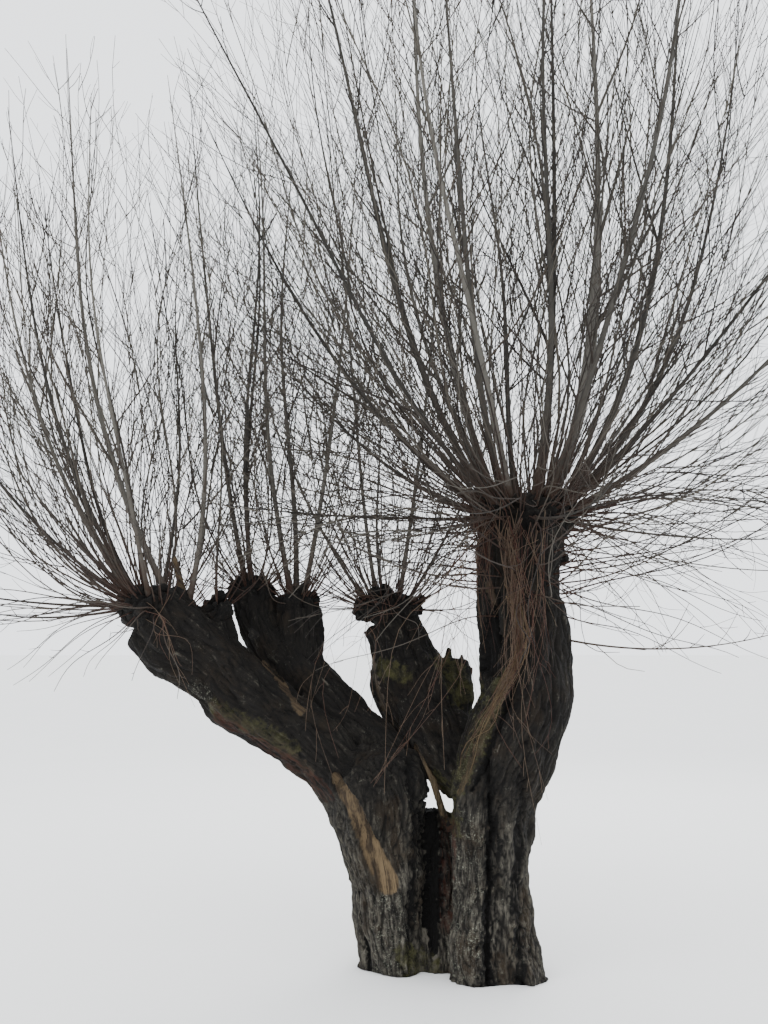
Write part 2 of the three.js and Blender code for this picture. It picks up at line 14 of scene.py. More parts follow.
import bpy
import numpy as np
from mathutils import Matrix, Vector


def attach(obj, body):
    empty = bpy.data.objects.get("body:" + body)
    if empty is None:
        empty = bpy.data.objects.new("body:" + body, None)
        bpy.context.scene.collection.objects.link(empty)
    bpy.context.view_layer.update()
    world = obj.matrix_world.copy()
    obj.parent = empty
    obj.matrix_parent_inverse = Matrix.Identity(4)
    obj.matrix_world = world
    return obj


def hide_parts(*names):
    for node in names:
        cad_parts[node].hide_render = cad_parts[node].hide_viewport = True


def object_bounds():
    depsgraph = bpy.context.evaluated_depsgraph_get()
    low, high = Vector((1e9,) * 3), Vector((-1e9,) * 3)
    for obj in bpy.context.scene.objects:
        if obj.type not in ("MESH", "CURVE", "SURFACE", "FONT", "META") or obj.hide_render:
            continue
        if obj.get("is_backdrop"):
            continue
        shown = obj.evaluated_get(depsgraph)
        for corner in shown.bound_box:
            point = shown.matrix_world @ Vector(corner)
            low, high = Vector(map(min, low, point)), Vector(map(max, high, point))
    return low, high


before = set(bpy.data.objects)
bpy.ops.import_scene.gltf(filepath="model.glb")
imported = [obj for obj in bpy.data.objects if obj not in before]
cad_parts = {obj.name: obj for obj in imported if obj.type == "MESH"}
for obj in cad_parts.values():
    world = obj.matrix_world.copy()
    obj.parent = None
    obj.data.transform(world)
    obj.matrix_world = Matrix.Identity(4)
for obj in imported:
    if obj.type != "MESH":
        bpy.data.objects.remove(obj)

CAD_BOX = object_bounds()
LOG = logging.getLogger("willow")

MM = 0.001
UP = np.array([0.0, 0.0, 1.0])
VIEW = np.array([0.0, 1.0, 0.0])
FULL_TURN = 2 * math.pi
MOST_TRIANGLES = 190_000
ROOM = 0.004
FAR = 9.0

WORD = 0xFFFFFFFF
WORD_SPAN = 2**32
SEED_PRIME = 2654435761
SEED_START = 97
CELL_PRIMES = (73856093, 19349663, 83492791)
CELL_STRIDE = 40503
CELL_START = 17
MIX_PRIMES = (SEED_PRIME, 2246822519, 3266489917)
STIR_PRIME = 668265263
NOISE_GAIN = 1.6


Couple = tuple[float, float]
Triple = tuple[float, float, float]
Pair = tuple[np.ndarray, np.ndarray]
Pieces = list[bpy.types.Object]


class Slot(Enum):
    """The record's material slots."""

    BARK = "bark"
    CORK = "corky_head"
    RODS = "rods"
    BRUSH = "brush"


class MarkKind(Enum):
    """What a mark on the old wood is."""

    BARE = "bare"
    ROT = "rot"
    MOSS = "moss"
    LICHEN = "lichen"
    CREVICE = "crevice"
    FOLD = "fold"


def colour(code: str) -> tuple[float, float, float, float]:
    """A linear colour from a hexadecimal one.

    Args:
        code: Six hexadecimal digits after a hash sign.

    Returns:
        Red, green, blue and an alpha of 1.
    """
    parts = [int(code[i:i + 2], 16) / 255 for i in (1, 3, 5)]
    linear = [p / 12.92 if p <= 0.04045 else ((p + 0.055) / 1.055) ** 2.4 for p in parts]
    return (*linear, 1.0)


def unit(vectors: np.ndarray) -> np.ndarray:
    """The vectors, each brought to length 1."""
    return vectors / np.maximum(np.linalg.norm(vectors, axis=-1, keepdims=True), 1e-12)


def smooth_step(low: float, high: float, values: np.ndarray) -> np.ndarray:
    """Rises smoothly from 0 at low to 1 at high, or falls where high is the smaller."""
    share = np.clip((values - low) / (high - low), 0, 1)
    return share * share * (3 - 2 * share)


class Chance:
    """The source's own stream of numbers from 0 to 1, the same for the same seed."""

    def __init__(self, seed: int) -> None:
        """Starts the stream from any whole number from 0 up."""
        self.state = (seed * SEED_PRIME + SEED_START) % WORD_SPAN

    def next(self) -> float:
        """The stream's next number.

        Returns:
            A number from 0 to 1.
        """
        state = self.state
        state ^= (state << 13) & WORD
        state ^= state >> 17
        state ^= (state << 5) & WORD
        self.state = state
        return state / WORD_SPAN

    def draws(self, *shape: int) -> np.ndarray:
        """The next numbers, row by row, in an array of that shape."""
        return np.array([self.next() for _ in range(math.prod(shape))]).reshape(shape)


def cell_numbers(cells: np.ndarray, seed: int) -> np.ndarray:
    """Three numbers from 0 to 1 for each lattice cell.

    Args:
        cells: Whole cell coordinates, three to a row.
        seed: Chooses the set of numbers.

    Returns:
        An array of the same shape.
    """
    whole = cells.astype(np.int64).astype(np.uint64)
    primes = np.array(CELL_PRIMES, dtype=np.uint64)
    start = np.uint64(seed * CELL_STRIDE + CELL_START)
    mixed = np.bitwise_xor.reduce(whole * primes, axis=-1) ^ start
    numbers = []
    for prime in MIX_PRIMES:
        bits = (mixed * np.uint64(prime)) & np.uint64(WORD)
        bits ^= bits >> np.uint64(15)
        bits = (bits * np.uint64(STIR_PRIME)) & np.uint64(WORD)
        bits ^= bits >> np.uint64(13)
        numbers.append(bits.astype(np.float32) / np.float32(WORD_SPAN))
    return np.stack(numbers, axis=-1)


def noise(points: np.ndarray, seed: int = 0) -> np.ndarray:
    """Smooth noise, mostly from -1 to 1, that turns about once in each unit.

    Args:
        points: Places, three coordinates to a row.
        seed: Chooses the pattern.

    Returns:
        One number for each place.
    """
    base = np.floor(points)
    inside = points - base
    fade = inside**3 * (inside * (inside * 6 - 15) + 10)
    total = np.zeros(len(points))
    for corner in product((0, 1), repeat=3):
        slope = 2 * cell_numbers(base + corner, seed) - 1
        share = np.prod(np.where(np.array(corner) == 1, fade, 1 - fade), axis=-1)
        total += share * np.sum(slope * (inside - corner), axis=-1)
    return NOISE_GAIN * total


def linked(name: str, data: bpy.types.ID) -> bpy.types.Object:
    """A new object in the scene that carries the data."""
    made = bpy.data.objects.new(name, data)
    bpy.context.scene.collection.objects.link(made)
    return made


def fetched(items: bpy.types.bpy_prop_collection, key: str, width: int, kind: type) -> np.ndarray:
    """One property of every item of a mesh.

    Args:
        items: The mesh's vertices, edges or the like.
        key: The property's name.
        width: How many numbers an item has of it.
        kind: What kind of number they are.

    Returns:
        A row for each item.
    """
    values = np.empty(width * len(items), dtype=kind)
    items.foreach_get(key, values)
    return values.reshape(-1, width)


def dressed(pieces: Pieces, slot: Slot) -> Pieces:
    """The pieces, once they ride on the tree.

    Args:
        pieces: The pieces.
        slot: The record's slot; not used.

    Returns:
        The same pieces.
    """
    for piece in pieces:
        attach(piece, "root")
    return pieces


def mark_points(mesh: bpy.types.Mesh, look: str, values: np.ndarray) -> None:
    """Gives a mesh an attribute at its vertices.

    Args:
        mesh: The mesh.
        look: The attribute's name.
        values: A number for each vertex, or a row of three.
    """
    kind, key = ("FLOAT_VECTOR", "vector") if values.ndim == 2 else ("FLOAT", "value")
    layer = mesh.attributes.new(look, kind, "POINT")
    layer.data.foreach_set(key, values.astype(np.float32).ravel())


class Wire:
    """A socket that gives a value; an expression on wires adds Math nodes."""

    def __init__(self, shade: "Shade", socket: bpy.types.NodeSocket) -> None:
        """Wraps an output socket of a node in the material."""
        self.shade = shade
        self.socket = socket

    def maths(self, operation: str, *values: Any) -> "Wire":
        """The result of a Math node on numbers or wires, given in the order of its inputs."""
        return self.shade.node("ShaderNodeMath", {"operation": operation}, dict(enumerate(values)))

    def __add__(self, other: Any) -> "Wire":
        """The sum."""
        return self.maths("ADD", self, other)

    def __mul__(self, other: Any) -> "Wire":
        """The product."""
        return self.maths("MULTIPLY", self, other)

    def __sub__(self, other: Any) -> "Wire":
        """The difference."""
        return self.maths("SUBTRACT", self, other)

    def __rsub__(self, other: Any) -> "Wire":
        """The difference, turned round."""
        return self.maths("SUBTRACT", other, self)

    __radd__ = __add__
    __rmul__ = __mul__


class Shade:
    """A material whose nodes are made by calls."""

    SHINE = 0.25

    def __init__(self, name: str) -> None:
        """Makes an empty material.

        Args:
            name: The material's name.
        """
        self.material = bpy.data.materials.new(name)
        self.material.use_nodes = True
        self.tree = self.material.node_tree
        self.tree.nodes.clear()

    def node(
        self, kind: str, settings: dict[str, Any], values: dict[Any, Any], output: Any = 0
    ) -> Wire:
        """Adds a node.

        Args:
            kind: The node's type.
            settings: Its own properties, set first.
            values: A number, colour or wire for each input named or counted.
            output: Which output is wanted.

        Returns:
            That output.
        """
        made = self.tree.nodes.new(kind)
        for name, value in settings.items():
            setattr(made, name, value)
        for name, value in values.items():
            if isinstance(value, Wire):
                self.tree.links.new(value.socket, made.inputs[name])
            else:
                made.inputs[name].default_value = value
        return Wire(self, made.outputs[output])

    def place(self) -> Wire:
        """The place on the piece, which is also its place in the tree."""
        return self.node("ShaderNodeTexCoord", {}, {}, "Object")

    def attribute(self, name: str, output: str = "Fac") -> Wire:
        """An attribute of the mesh."""
        return self.node("ShaderNodeAttribute", {"attribute_name": name}, {}, output)

    def stretched(self, vector: Wire, scale: Triple) -> Wire:
        """A pattern's coordinates, scaled along each axis."""
        return self.node("ShaderNodeVectorMath", {"operation": "MULTIPLY"}, {0: vector, 1: scale})

    def noise(self, vector: Wire, scale: float, detail: float = 4, roughness: float = 0.55) -> Wire:
        """Noise from 0 to 1 that turns scale times in a unit, with so many finer layers."""
        values = {"Vector": vector, "Scale": scale, "Detail": detail, "Roughness": roughness}
        return self.node("ShaderNodeTexNoise", {}, values)

    def step(self, value: Wire, low: float, high: float) -> Wire:
        """Rises smoothly from 0 at low to 1 at high."""
        values = {"Value": value, "From Min": low, "From Max": high}
        return self.node("ShaderNodeMapRange", {"interpolation_type": "SMOOTHSTEP"}, values)

    def mix(self, one: Any, other: Any, factor: Any) -> Wire:
        """A mix of two colours, codes or wires: the first at factor 0, the second at 1."""
        first, second = (colour(c) if isinstance(c, str) else c for c in (one, other))
        return self.node("ShaderNodeMix", {"data_type": "RGBA"}, {0: factor, 6: first, 7: second}, 2)

    def finish(self, base: Wire, roughness: Any, height: Wire, relief: float) -> bpy.types.Material:
        """Closes the material with its shader.

        Args:
            base: The base colour.
            roughness: A number or a wire.
            height: The height that the fine relief is read from.
            relief: How high that is in metres.

        Returns:
            The material.
        """
        normal = self.node(
            "ShaderNodeBump", {}, {"Height": height, "Distance": relief, "Strength": 1.0}
        )
        values = {"Base Color": base, "Roughness": roughness, "Normal": normal}
        values["Specular IOR Level"] = self.SHINE
        shader = self.node("ShaderNodeBsdfPrincipled", {}, values)
        end = self.tree.nodes.new("ShaderNodeOutputMaterial")
        self.tree.links.new(shader.socket, end.inputs["Surface"])
        return self.material


@dataclass(frozen=True)
class Cork:
    """The corky crust of a head, which is black in its pits, takes painted shade in its creases and
    has worn brown crests.
    """

    crest: str = "#211d19"
    pit: str = "#060504"
    worn: str = "#2b2017"
    lichen: str = "#4b4a43"
    crumb_turns: float = 60.0
    broad_turns: float = 9.0
    speck_turns: float = 190.0
    worn_share: float = 0.7
    lichen_share: float = 0.35
    crest_band: Couple = (0.4, 0.72)
    worn_band: Couple = (0.48, 0.7)
    pit_band: Couple = (0.5, 1.05)
    lichen_band: Couple = (1.12, 1.3)

    def colour(self, shade: Shade, place: Wire, furrow: Wire) -> Wire:
        """The crust's colour.

        Args:
            shade: The material that it is made for.
            place: The place on the piece.
            furrow: How deep in a pit that is.

        Returns:
            The colour.
        """
        crumbs = shade.noise(place, self.crumb_turns, 6, 0.7)
        broad = shade.noise(place, self.broad_turns, 3)
        speck = shade.noise(place, self.speck_turns, 3)
        base = shade.mix(self.pit, self.crest, shade.step(crumbs, *self.crest_band))
        base = shade.mix(base, self.worn, self.worn_share * shade.step(broad, *self.worn_band))
        # painted shade: the crust goes black in its creases
        base = shade.mix(base, self.pit, shade.step(furrow + 0.6 * crumbs, *self.pit_band))
        crust = self.lichen_share * shade.step(speck + crumbs, *self.lichen_band)
        return shade.mix(base, self.lichen, crust)


@dataclass(frozen=True)
class OldBark:
    """Furrowed bark, near black in its furrows, with what grows on it; it turns to cork on heads.

    A pattern's turns are how often it turns in a metre, across and along the limb where it has
    three. A share is how much of its colour a layer lays on, and a band where its pattern sets in
    and is full. The near black in its furrows, crevices and folds, and the darkening of its upper
    wood and of the top of its bare wood, are painted shade; the glint on its upper ridges is a
    painted highlight.
    """

    name: str = "old_bark"
    worn_crest: str = "#5a564d"
    crest: str = "#24201b"
    flank: str = "#12100e"
    furrow: str = "#060504"
    tint: str = "#281f14"
    lichen: str = "#77786c"
    moss: str = "#39381f"
    bare: str = "#66563f"
    shade_wood: str = "#33291d"
    fibre: str = "#1e1710"
    rot: str = "#321b13"
    gloom: float = 0.5
    glint: float = 0.5
    tint_share: float = 0.7
    lichen_share: float = 0.8
    moss_share: float = 0.85
    rot_share: float = 0.8
    crest_band: Couple = (0.55, 0.92)
    tint_band: Couple = (0.48, 0.68)
    furrow_band: Couple = (0.68, 1.25)
    cork_band: Couple = (0.5, 0.95)
    ridge_band: Couple = (0.74, 0.96)
    crust_band: Couple = (0.78, 0.96)
    stray_band: Couple = (1.16, 1.3)
    moss_band: Couple = (0.56, 0.95)
    long_band: Couple = (0.6, 0.82)
    hair_band: Couple = (0.66, 0.88)
    bare_band: Couple = (0.5, 0.75)
    rot_band: Couple = (0.4, 0.62)
    broad_turns: float = 5.0
    patch_turns: float = 24.0
    speck_turns: float = 130.0
    streak_turns: Triple = (75.0, 75.0, 13.0)
    hair_turns: Triple = (150.0, 150.0, 7.0)
    long_turns: Triple = (28.0, 28.0, 2.2)
    rough: float = 0.95
    polish: float = 0.15
    height: float = 0.011
    cork: Cork = field(default_factory=Cork)

    def material(self) -> bpy.types.Material:
        """Builds the material.

        Returns:
            The material.
        """
        shade = Shade(self.name)
        place = shade.place()
        grain = shade.attribute("grain", "Vector")
        furrow = shade.attribute("furrow")
        worn = shade.attribute("worn")
        bare = shade.attribute("bare")
        broad = shade.noise(place, self.broad_turns, 4, 0.6)
        patch = shade.noise(place, self.patch_turns, 5, 0.65)
        streak = shade.noise(shade.stretched(grain, self.streak_turns), 1.0, 6, 0.65)
        speck = shade.noise(place, self.speck_turns, 4, 0.65)
        hair = shade.noise(shade.stretched(grain, self.hair_turns), 1.0, 5, 0.7)
        long = shade.noise(shade.stretched(grain, self.long_turns), 1.0, 4, 0.6)
        crest = shade.mix(self.crest, self.worn_crest, worn)
        base = shade.mix(self.flank, crest, shade.step(streak + 0.4 * patch, *self.crest_band))
        base = shade.mix(base, self.tint, self.tint_share * shade.step(broad, *self.tint_band))
        # painted shade: the furrows and creases are laid near black
        deep = shade.step(furrow + 0.6 * streak + 0.3 * patch, *self.furrow_band)
        base = shade.mix(base, self.furrow, deep)
        cork = shade.step(shade.attribute("cork") + 0.5 * patch, *self.cork_band)
        base = shade.mix(base, self.cork.colour(shade, place, furrow), cork)
        # painted shade: the upper wood, where it is least worn, is darkened towards near black
        base = shade.mix(base, self.furrow, self.gloom * (1 - worn))
        # painted highlight: pale glints on the ridges of the upper wood
        highlit_ridge = shade.step(streak + 0.5 * patch - 0.5 * furrow, *self.ridge_band)
        base = shade.mix(base, self.worn_crest, self.glint * highlit_ridge * (1 - worn))
        crust = self.lichen_share * shade.attribute("lichen")
        crust = crust * shade.step(speck + 0.5 * patch, *self.crust_band)
        stray = (0.2 + 0.35 * worn) * shade.step(speck + patch, *self.stray_band)
        base = shade.mix(base, self.lichen, (crust + stray) * (1 - 0.8 * furrow))
        growth = self.moss_share * shade.attribute("moss")
        growth = growth * shade.step(patch + 0.5 * speck, *self.moss_band)
        base = shade.mix(base, self.moss, growth)
        # painted shade: the bare wood is darker towards its top; the dark streaks laid on next are its
        # own
        wood = shade.mix(self.shade_wood, self.bare, 0.4 + 0.6 * worn)
        wood = shade.mix(wood, self.shade_wood, shade.step(long + 0.4 * patch, *self.long_band))
        wood = shade.mix(wood, self.fibre, shade.step(hair + 0.4 * long, *self.hair_band))
        base = shade.mix(base, wood, bare * shade.step(bare + 0.5 * streak, *self.bare_band))
        rot = self.rot_share * shade.attribute("rot")
        base = shade.mix(base, self.rot, rot * shade.step(streak, *self.rot_band))
        fine = 0.7 * streak + 0.3 * speck
        return shade.finish(base, self.rough - self.polish * bare, fine, self.height)


@dataclass(frozen=True)
class YoungBark:
    """The smooth bark of rods and twigs; its painted lit and shaded colours are dealt out spray by
    spray.
    """

    name: str
    shaded: str
    lit: str
    warm: str
    speck: str = "#77746a"
    blotch_turns: float = 22.0
    fine_turns: float = 210.0
    speck_share: float = 0.3
    lit_band: Couple = (0.3, 1.25)
    warm_band: Couple = (0.2, 0.55)
    speck_band: Couple = (0.62, 0.75)
    height: float = 0.0012

    def material(self) -> bpy.types.Material:
        """Builds the material.

        Returns:
            The material.
        """
        shade = Shade(self.name)
        place = shade.place()
        tone = shade.attribute("tone")
        blotch = shade.noise(place, self.blotch_turns, 4)
        fine = shade.noise(place, self.fine_turns, 4, 0.7)
        # painted light and shade: each spray gets its own mix of a lit and a shaded colour
        base = shade.mix(self.shaded, self.lit, shade.step(tone + 0.5 * blotch, *self.lit_band))
        warmth = shade.attribute("warmth") * shade.step(blotch, *self.warm_band)
        base = shade.mix(base, self.warm, warmth)
        base = shade.mix(base, self.speck, self.speck_share * shade.step(fine, *self.speck_band))
        return shade.finish(base, 0.72 + 0.2 * blotch, fine + blotch, self.height)


@dataclass(frozen=True)
class PaleGround:
    """The plain pale floor."""

    name: str = "pale_floor"
    base: str = "#f3f3f1"
    cloud: str = "#f6f6f4"
    cloud_turns: float = 0.8
    rough: float = 0.9
    height: float = 0.0001

    def material(self) -> bpy.types.Material:
        """Builds the material.

        Returns:
            The material.
        """
        shade = Shade(self.name)
        cloud = shade.noise(shade.place(), self.cloud_turns, 2)
        base = shade.mix(self.base, self.cloud, cloud)
        return shade.finish(base, self.rough, cloud, self.height)


class Spline:
    """A Catmull-Rom curve through its points, as the source draws it."""

    def __init__(self, points: Iterable[Iterable[float]]) -> None:
        """Takes the places that the curve goes through, at even shares of it."""
        self.points = np.array(list(points), dtype=float)

    def at(self, shares: np.ndarray) -> np.ndarray:
        """Places on the curve.

        Args:
            shares: How far along each is, from 0 to 1.

        Returns:
            One row for each share.
        """
        points = self.points
        last = len(points) - 1
        ahead = np.vstack([2 * points[0] - points[1], points, 2 * points[-1] - points[-2]])
        place = np.clip(shares, 0, 1) * last
        start = np.minimum(place.astype(int), last - 1)
        w = (place - start)[:, None]
        before, one, two, after = (ahead[start + k] for k in range(4))
        leave = (two - before) / 2
        arrive = (after - one) / 2
        bend = 3 * (two - one) - 2 * leave - arrive
        return one + leave * w + bend * w**2 + (2 * (one - two) + leave + arrive) * w**3


def closed_skin(rings: np.ndarray) -> Pair:
    """A closed skin over rings of points, with a fan over each end.

    Args:
        rings: Points by ring and by place round the ring.

    Returns:
        The vertices, and the triangles as rows of three indices.
    """
    count, sides = rings.shape[:2]
    vertices = np.vstack([rings.reshape(-1, 3), rings[0].mean(axis=0), rings[-1].mean(axis=0)])
    row, side = np.meshgrid(np.arange(count - 1), np.arange(sides), indexing="ij")
    a, b = row * sides + side, row * sides + (side + 1) % sides
    body = np.stack([a, b, b + sides, a, b + sides, a + sides], axis=-1).reshape(-1, 3)
    here = np.arange(sides)
    there = (here + 1) % sides
    foot = np.stack([there, here, np.full(sides, count * sides)], axis=-1)
    top = (count - 1) * sides
    head = np.stack([here + top, there + top, np.full(sides, count * sides + 1)], axis=-1)
    return vertices, np.vstack([body, foot, head])


BALL_POLE = 0.02
BALL_RINGS = 15
BALL_SIDES = 24
LUMP_TURNS = (3, 4, 3)
LUMP_RISE = 0.09


def ball(centre: np.ndarray, radius: float, phases: np.ndarray) -> Pair:
    """A lumpy ball, as the source makes a knuckle.

    Args:
        centre: Its middle.
        radius: Its radius.
        phases: Three angles that place its lumps.

    Returns:
        Vertices and triangles.
    """
    height = np.linspace(BALL_POLE, math.pi - BALL_POLE, BALL_RINGS)[:, None]
    turn = np.linspace(0, FULL_TURN, BALL_SIDES, endpoint=False)[None, :]
    parts = np.sin(height) * np.cos(turn), np.sin(height) * np.sin(turn), -np.cos(height)
    out = np.stack(np.broadcast_arrays(*parts), axis=-1)
    lump = np.sin(out * LUMP_TURNS + phases).sum(axis=-1, keepdims=True)
    return closed_skin(centre + radius * (1 + LUMP_RISE * lump) * out)


NUDGE = 1e-4
FLUTES = ((2, 3, 0.5), (3, -4, 0.6), (5, 2, 0.5))
BUTTRESS_FALL = 9
MAIN_STATIONS = 11
SKIN_RINGS = 12
LINE_FRAMES = 10
LIMB_REACH = 1.7
PLACES_AT_ONCE = 20_000


@dataclass(frozen=True)
class Limb:
    """A tapering limb of old wood, fluted lengthwise and spreading into buttresses at the ground.

    The path has a point for each station, wide is the half width there across the view, and depth
    the share of it along the view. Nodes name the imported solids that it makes, with the share of
    the limb where each ends.
    """

    nodes: tuple[tuple[str, float], ...]
    path: tuple[Triple, ...]
    wide: tuple[float, ...]
    depth: float
    flutes: float
    seed: int
    buttress: float = 0.0
    sides: int = 48

    def frames(self, shares: np.ndarray) -> dict[str, np.ndarray]:
        """The limb's centre line and its cross directions.

        Args:
            shares: How far along the limb each frame stands.

        Returns:
            The centre, heading, across, along, radius and run, in metres, by frame.
        """
        curve = Spline(self.path)
        centre = curve.at(shares) * MM
        heading = unit(curve.at(shares + NUDGE) - curve.at(shares - NUDGE))
        if self.path[0][2] == 0:
            heading[shares == 0] = UP
        along = unit(VIEW - heading * (heading @ VIEW)[:, None])
        across = unit(np.cross(along, heading))
        radius = Spline([(w,) for w in self.wide]).at(shares)[:, 0] * MM
        steps = np.linalg.norm(np.diff(centre, axis=0), axis=1)
        run = np.concatenate([[0], np.cumsum(steps)])
        return {
            "centre": centre, "heading": heading, "across": across, "along": along,
            "radius": radius, "run": run, "share": shares,
        }

    def swell(self, angle: np.ndarray, share: np.ndarray) -> np.ndarray:
        """How much the limb swells in each direction.

        Args:
            angle: The direction round the limb.
            share: How far along it.

        Returns:
            The factor on the radius.
        """
        phases = Chance(self.seed).draws(len(FLUTES)) * FULL_TURN
        fluting = sum(
            np.sin(turns * angle + phase + twist * share) * rise
            for (turns, twist, rise), phase in zip(FLUTES, phases)
        )
        spread = self.buttress * np.exp(-BUTTRESS_FALL * share * len(self.path) / MAIN_STATIONS)
        return 1 + self.flutes * fluting + spread * (0.5 + np.cos(4 * angle + phases[1]))

    def skin(self) -> Pair:
        """The closed skin of the limb.

        Returns:
            Vertices and triangles.
        """
        shares = np.linspace(0, 1, SKIN_RINGS * len(self.path))
        made = self.frames(shares)
        angle = np.linspace(0, FULL_TURN, self.sides, endpoint=False)
        size = made["radius"][:, None] * self.swell(angle[None, :], shares[:, None])
        across = made["across"][:, None] * (size * np.cos(angle))[..., None]
        along = made["along"][:, None] * (size * np.sin(angle) * self.depth)[..., None]
        return closed_skin(made["centre"][:, None] + across + along)

    def straightened(self, points: np.ndarray) -> tuple[np.ndarray, np.ndarray, np.ndarray]:
        """Where places are in the limb's own space, in which it stands straight.

        Args:
            points: Places in the tree.

        Returns:
            The places across, along the view and along the limb; how far out each is, in radii;
            and its share of the limb.
        """
        made = self.frames(np.linspace(0, 1, LINE_FRAMES * len(self.path)))
        centre = made["centre"].astype(np.float32)
        local = np.zeros((len(points), 3))
        ratio = np.full(len(points), FAR)
        share = np.zeros(len(points))
        reach = made["radius"].max() * LIMB_REACH
        low, high = centre.min(axis=0) - reach, centre.max(axis=0) + reach
        places = np.flatnonzero(np.all((points > low) & (points < high), axis=1))
        for some in np.array_split(places, max(1, len(places) // PLACES_AT_ONCE)):
            gaps = np.linalg.norm(points[some, None].astype(np.float32) - centre[None], axis=2)
            at = gaps.argmin(axis=1)
            off = points[some] - made["centre"][at]
            local[some, 0] = np.sum(off * made["across"][at], axis=1)
            local[some, 1] = np.sum(off * made["along"][at], axis=1)
            local[some, 2] = made["run"][at] + np.sum(off * made["heading"][at], axis=1)
            ratio[some] = np.linalg.norm(off, axis=1) / made["radius"][at]
            share[some] = made["share"][at]
        return local, ratio, share


KNUCKLE_JITTER = 0.5
KNUCKLE_LIFT = 0.2
KNUCKLE_SCATTER = 0.14
MIDDLE_KNUCKLE = 1.12
KNOB_SEED = 500
KNOB_LOWEST = -0.35
STUB_LOWEST = 0.25


@dataclass(frozen=True)
class Head:
    """A pollard head: knuckles in a ring round its centre, and one in the middle.

    Spread is the ring's half width across and along the view, knuckle a knuckle's radius, count
    how many stand in the ring, and tilt how far its left side is raised. Of two figures for a
    knob, as shares of its knuckle, or a stub, in metres, chance adds some of the second.
    """

    node: str
    centre: Triple
    spread: Couple
    knuckle: float
    count: int
    tilt: float
    seed: int
    knobs: int = 9
    knob_size: Couple = (0.24, 0.18)
    stubs: int = 3
    stub_reach: Couple = (0.012, 0.035)
    stub_size: Couple = (0.011, 0.012)

    def knuckles(self) -> list[tuple[np.ndarray, float]]:
        """Places the knuckles as the source does.

        Returns:
            Where each is and its radius, in metres.
        """
        chance = Chance(self.seed)
        made = []
        for i in range(self.count):
            angle = FULL_TURN * (i + KNUCKLE_JITTER * chance.next()) / self.count
            lift = (2 * chance.next() - 1) * KNUCKLE_LIFT * self.knuckle
            lift -= self.tilt * math.cos(angle)
            across, along = self.spread[0] * math.cos(angle), self.spread[1] * math.sin(angle)
            at = np.array(self.centre) + (across, along, lift)
            size = self.knuckle * (1 + KNUCKLE_SCATTER * (2 * chance.next() - 1))
            made.append((at * MM, size * MM))
        return [*made, (np.array(self.centre) * MM, self.knuckle * MIDDLE_KNUCKLE * MM)]

    def skins(self) -> Iterator[Pair]:
        """The skins of the knuckles, of the knobs on them and of the stubs of cut rods.

        Yields:
            Vertices and triangles.
        """
        chance = Chance(self.seed + KNOB_SEED)
        for i, (at, radius) in enumerate(self.knuckles()):
            yield ball(at, radius, Chance(self.seed + i).draws(3) * FULL_TURN)
            for _ in range(self.knobs):
                out = self.outwards(chance, KNOB_LOWEST)
                size = radius * (self.knob_size[0] + self.knob_size[1] * chance.next())
                yield ball(at + out * (radius - 0.45 * size), size, chance.draws(3) * FULL_TURN)
            for _ in range(self.stubs):
                out = self.outwards(chance, STUB_LOWEST)
                end = radius + self.stub_reach[0] + self.stub_reach[1] * chance.next()
                size = self.stub_size[0] + self.stub_size[1] * chance.next()
                yield stub(at + out * radius * 0.5, at + out * end, size)

    def outwards(self, chance: Chance, lowest: float) -> np.ndarray:
        """A direction out of a knuckle.

        Args:
            chance: The stream to draw from.
            lowest: The least of its height.

        Returns:
            A unit vector.
        """
        height = lowest + (1 - lowest) * chance.next()
        turn = FULL_TURN * chance.next()
        flat = math.sqrt(max(0.0, 1 - height * height))
        return np.array([flat * math.cos(turn), flat * math.sin(turn), height])

    def gap(self, points: np.ndarray) -> np.ndarray:
        """How far out of the nearest knuckle places are, in its radii."""
        gaps = [np.linalg.norm(points - at, axis=1) / radius for at, radius in self.knuckles()]
        return np.min(gaps, axis=0)


ASKEW = (0.31, 0.87, 0.38)
STUB_SIDES = 12
STUB_STATIONS = ((0, 1.25), (0.5, 1.05), (0.93, 1.0), (1, 0.8))


def stub(
    foot: np.ndarray, end: np.ndarray, size: float, tip: float = 1.0
) -> Pair:
    """A short round bar with a bevelled end.

    Args:
        foot: Where it starts.
        end: Where it ends.
        size: Its radius at the foot.
        tip: Its radius at the end, as a share of that at the foot.

    Returns:
        Vertices and triangles.
    """
    foot, end = np.array(foot), np.array(end)
    heading = unit(end - foot)
    side = unit(np.cross(heading, ASKEW))
    other = np.cross(heading, side)
    turn = np.linspace(0, FULL_TURN, STUB_SIDES, endpoint=False)[:, None]
    ring = side * np.cos(turn) + other * np.sin(turn)
    rings = [
        foot + (end - foot) * share + ring * size * wide * (1 + (tip - 1) * share)
        for share, wide in STUB_STATIONS
    ]
    return closed_skin(np.array(rings))


@dataclass(frozen=True)
class Snag:
    """A broken stub or splinter, in metres, and how bare its wood is."""

    foot: Triple
    end: Triple
    size: float
    tip: float = 1.0
    bare: float = 0.0

    def nearness(self, points: np.ndarray) -> np.ndarray:
        """How near its middle line places are, from 1 on it to 0 away from it.

        Args:
            points: Places in the tree.

        Returns:
            One share for each place.
        """
        foot, run = np.array(self.foot), np.array(self.end) - self.foot
        along = (points - foot) @ run / (run @ run)
        nearest = foot + np.clip(along, 0, 1)[:, None] * run
        gap = np.linalg.norm(points - nearest, axis=1)
        return smooth_step(3.0, 1.5, gap / self.size) * smooth_step(0.15, 0.45, along)


RAGGED_TURNS = 45
NEAR_SIDE = 0.45


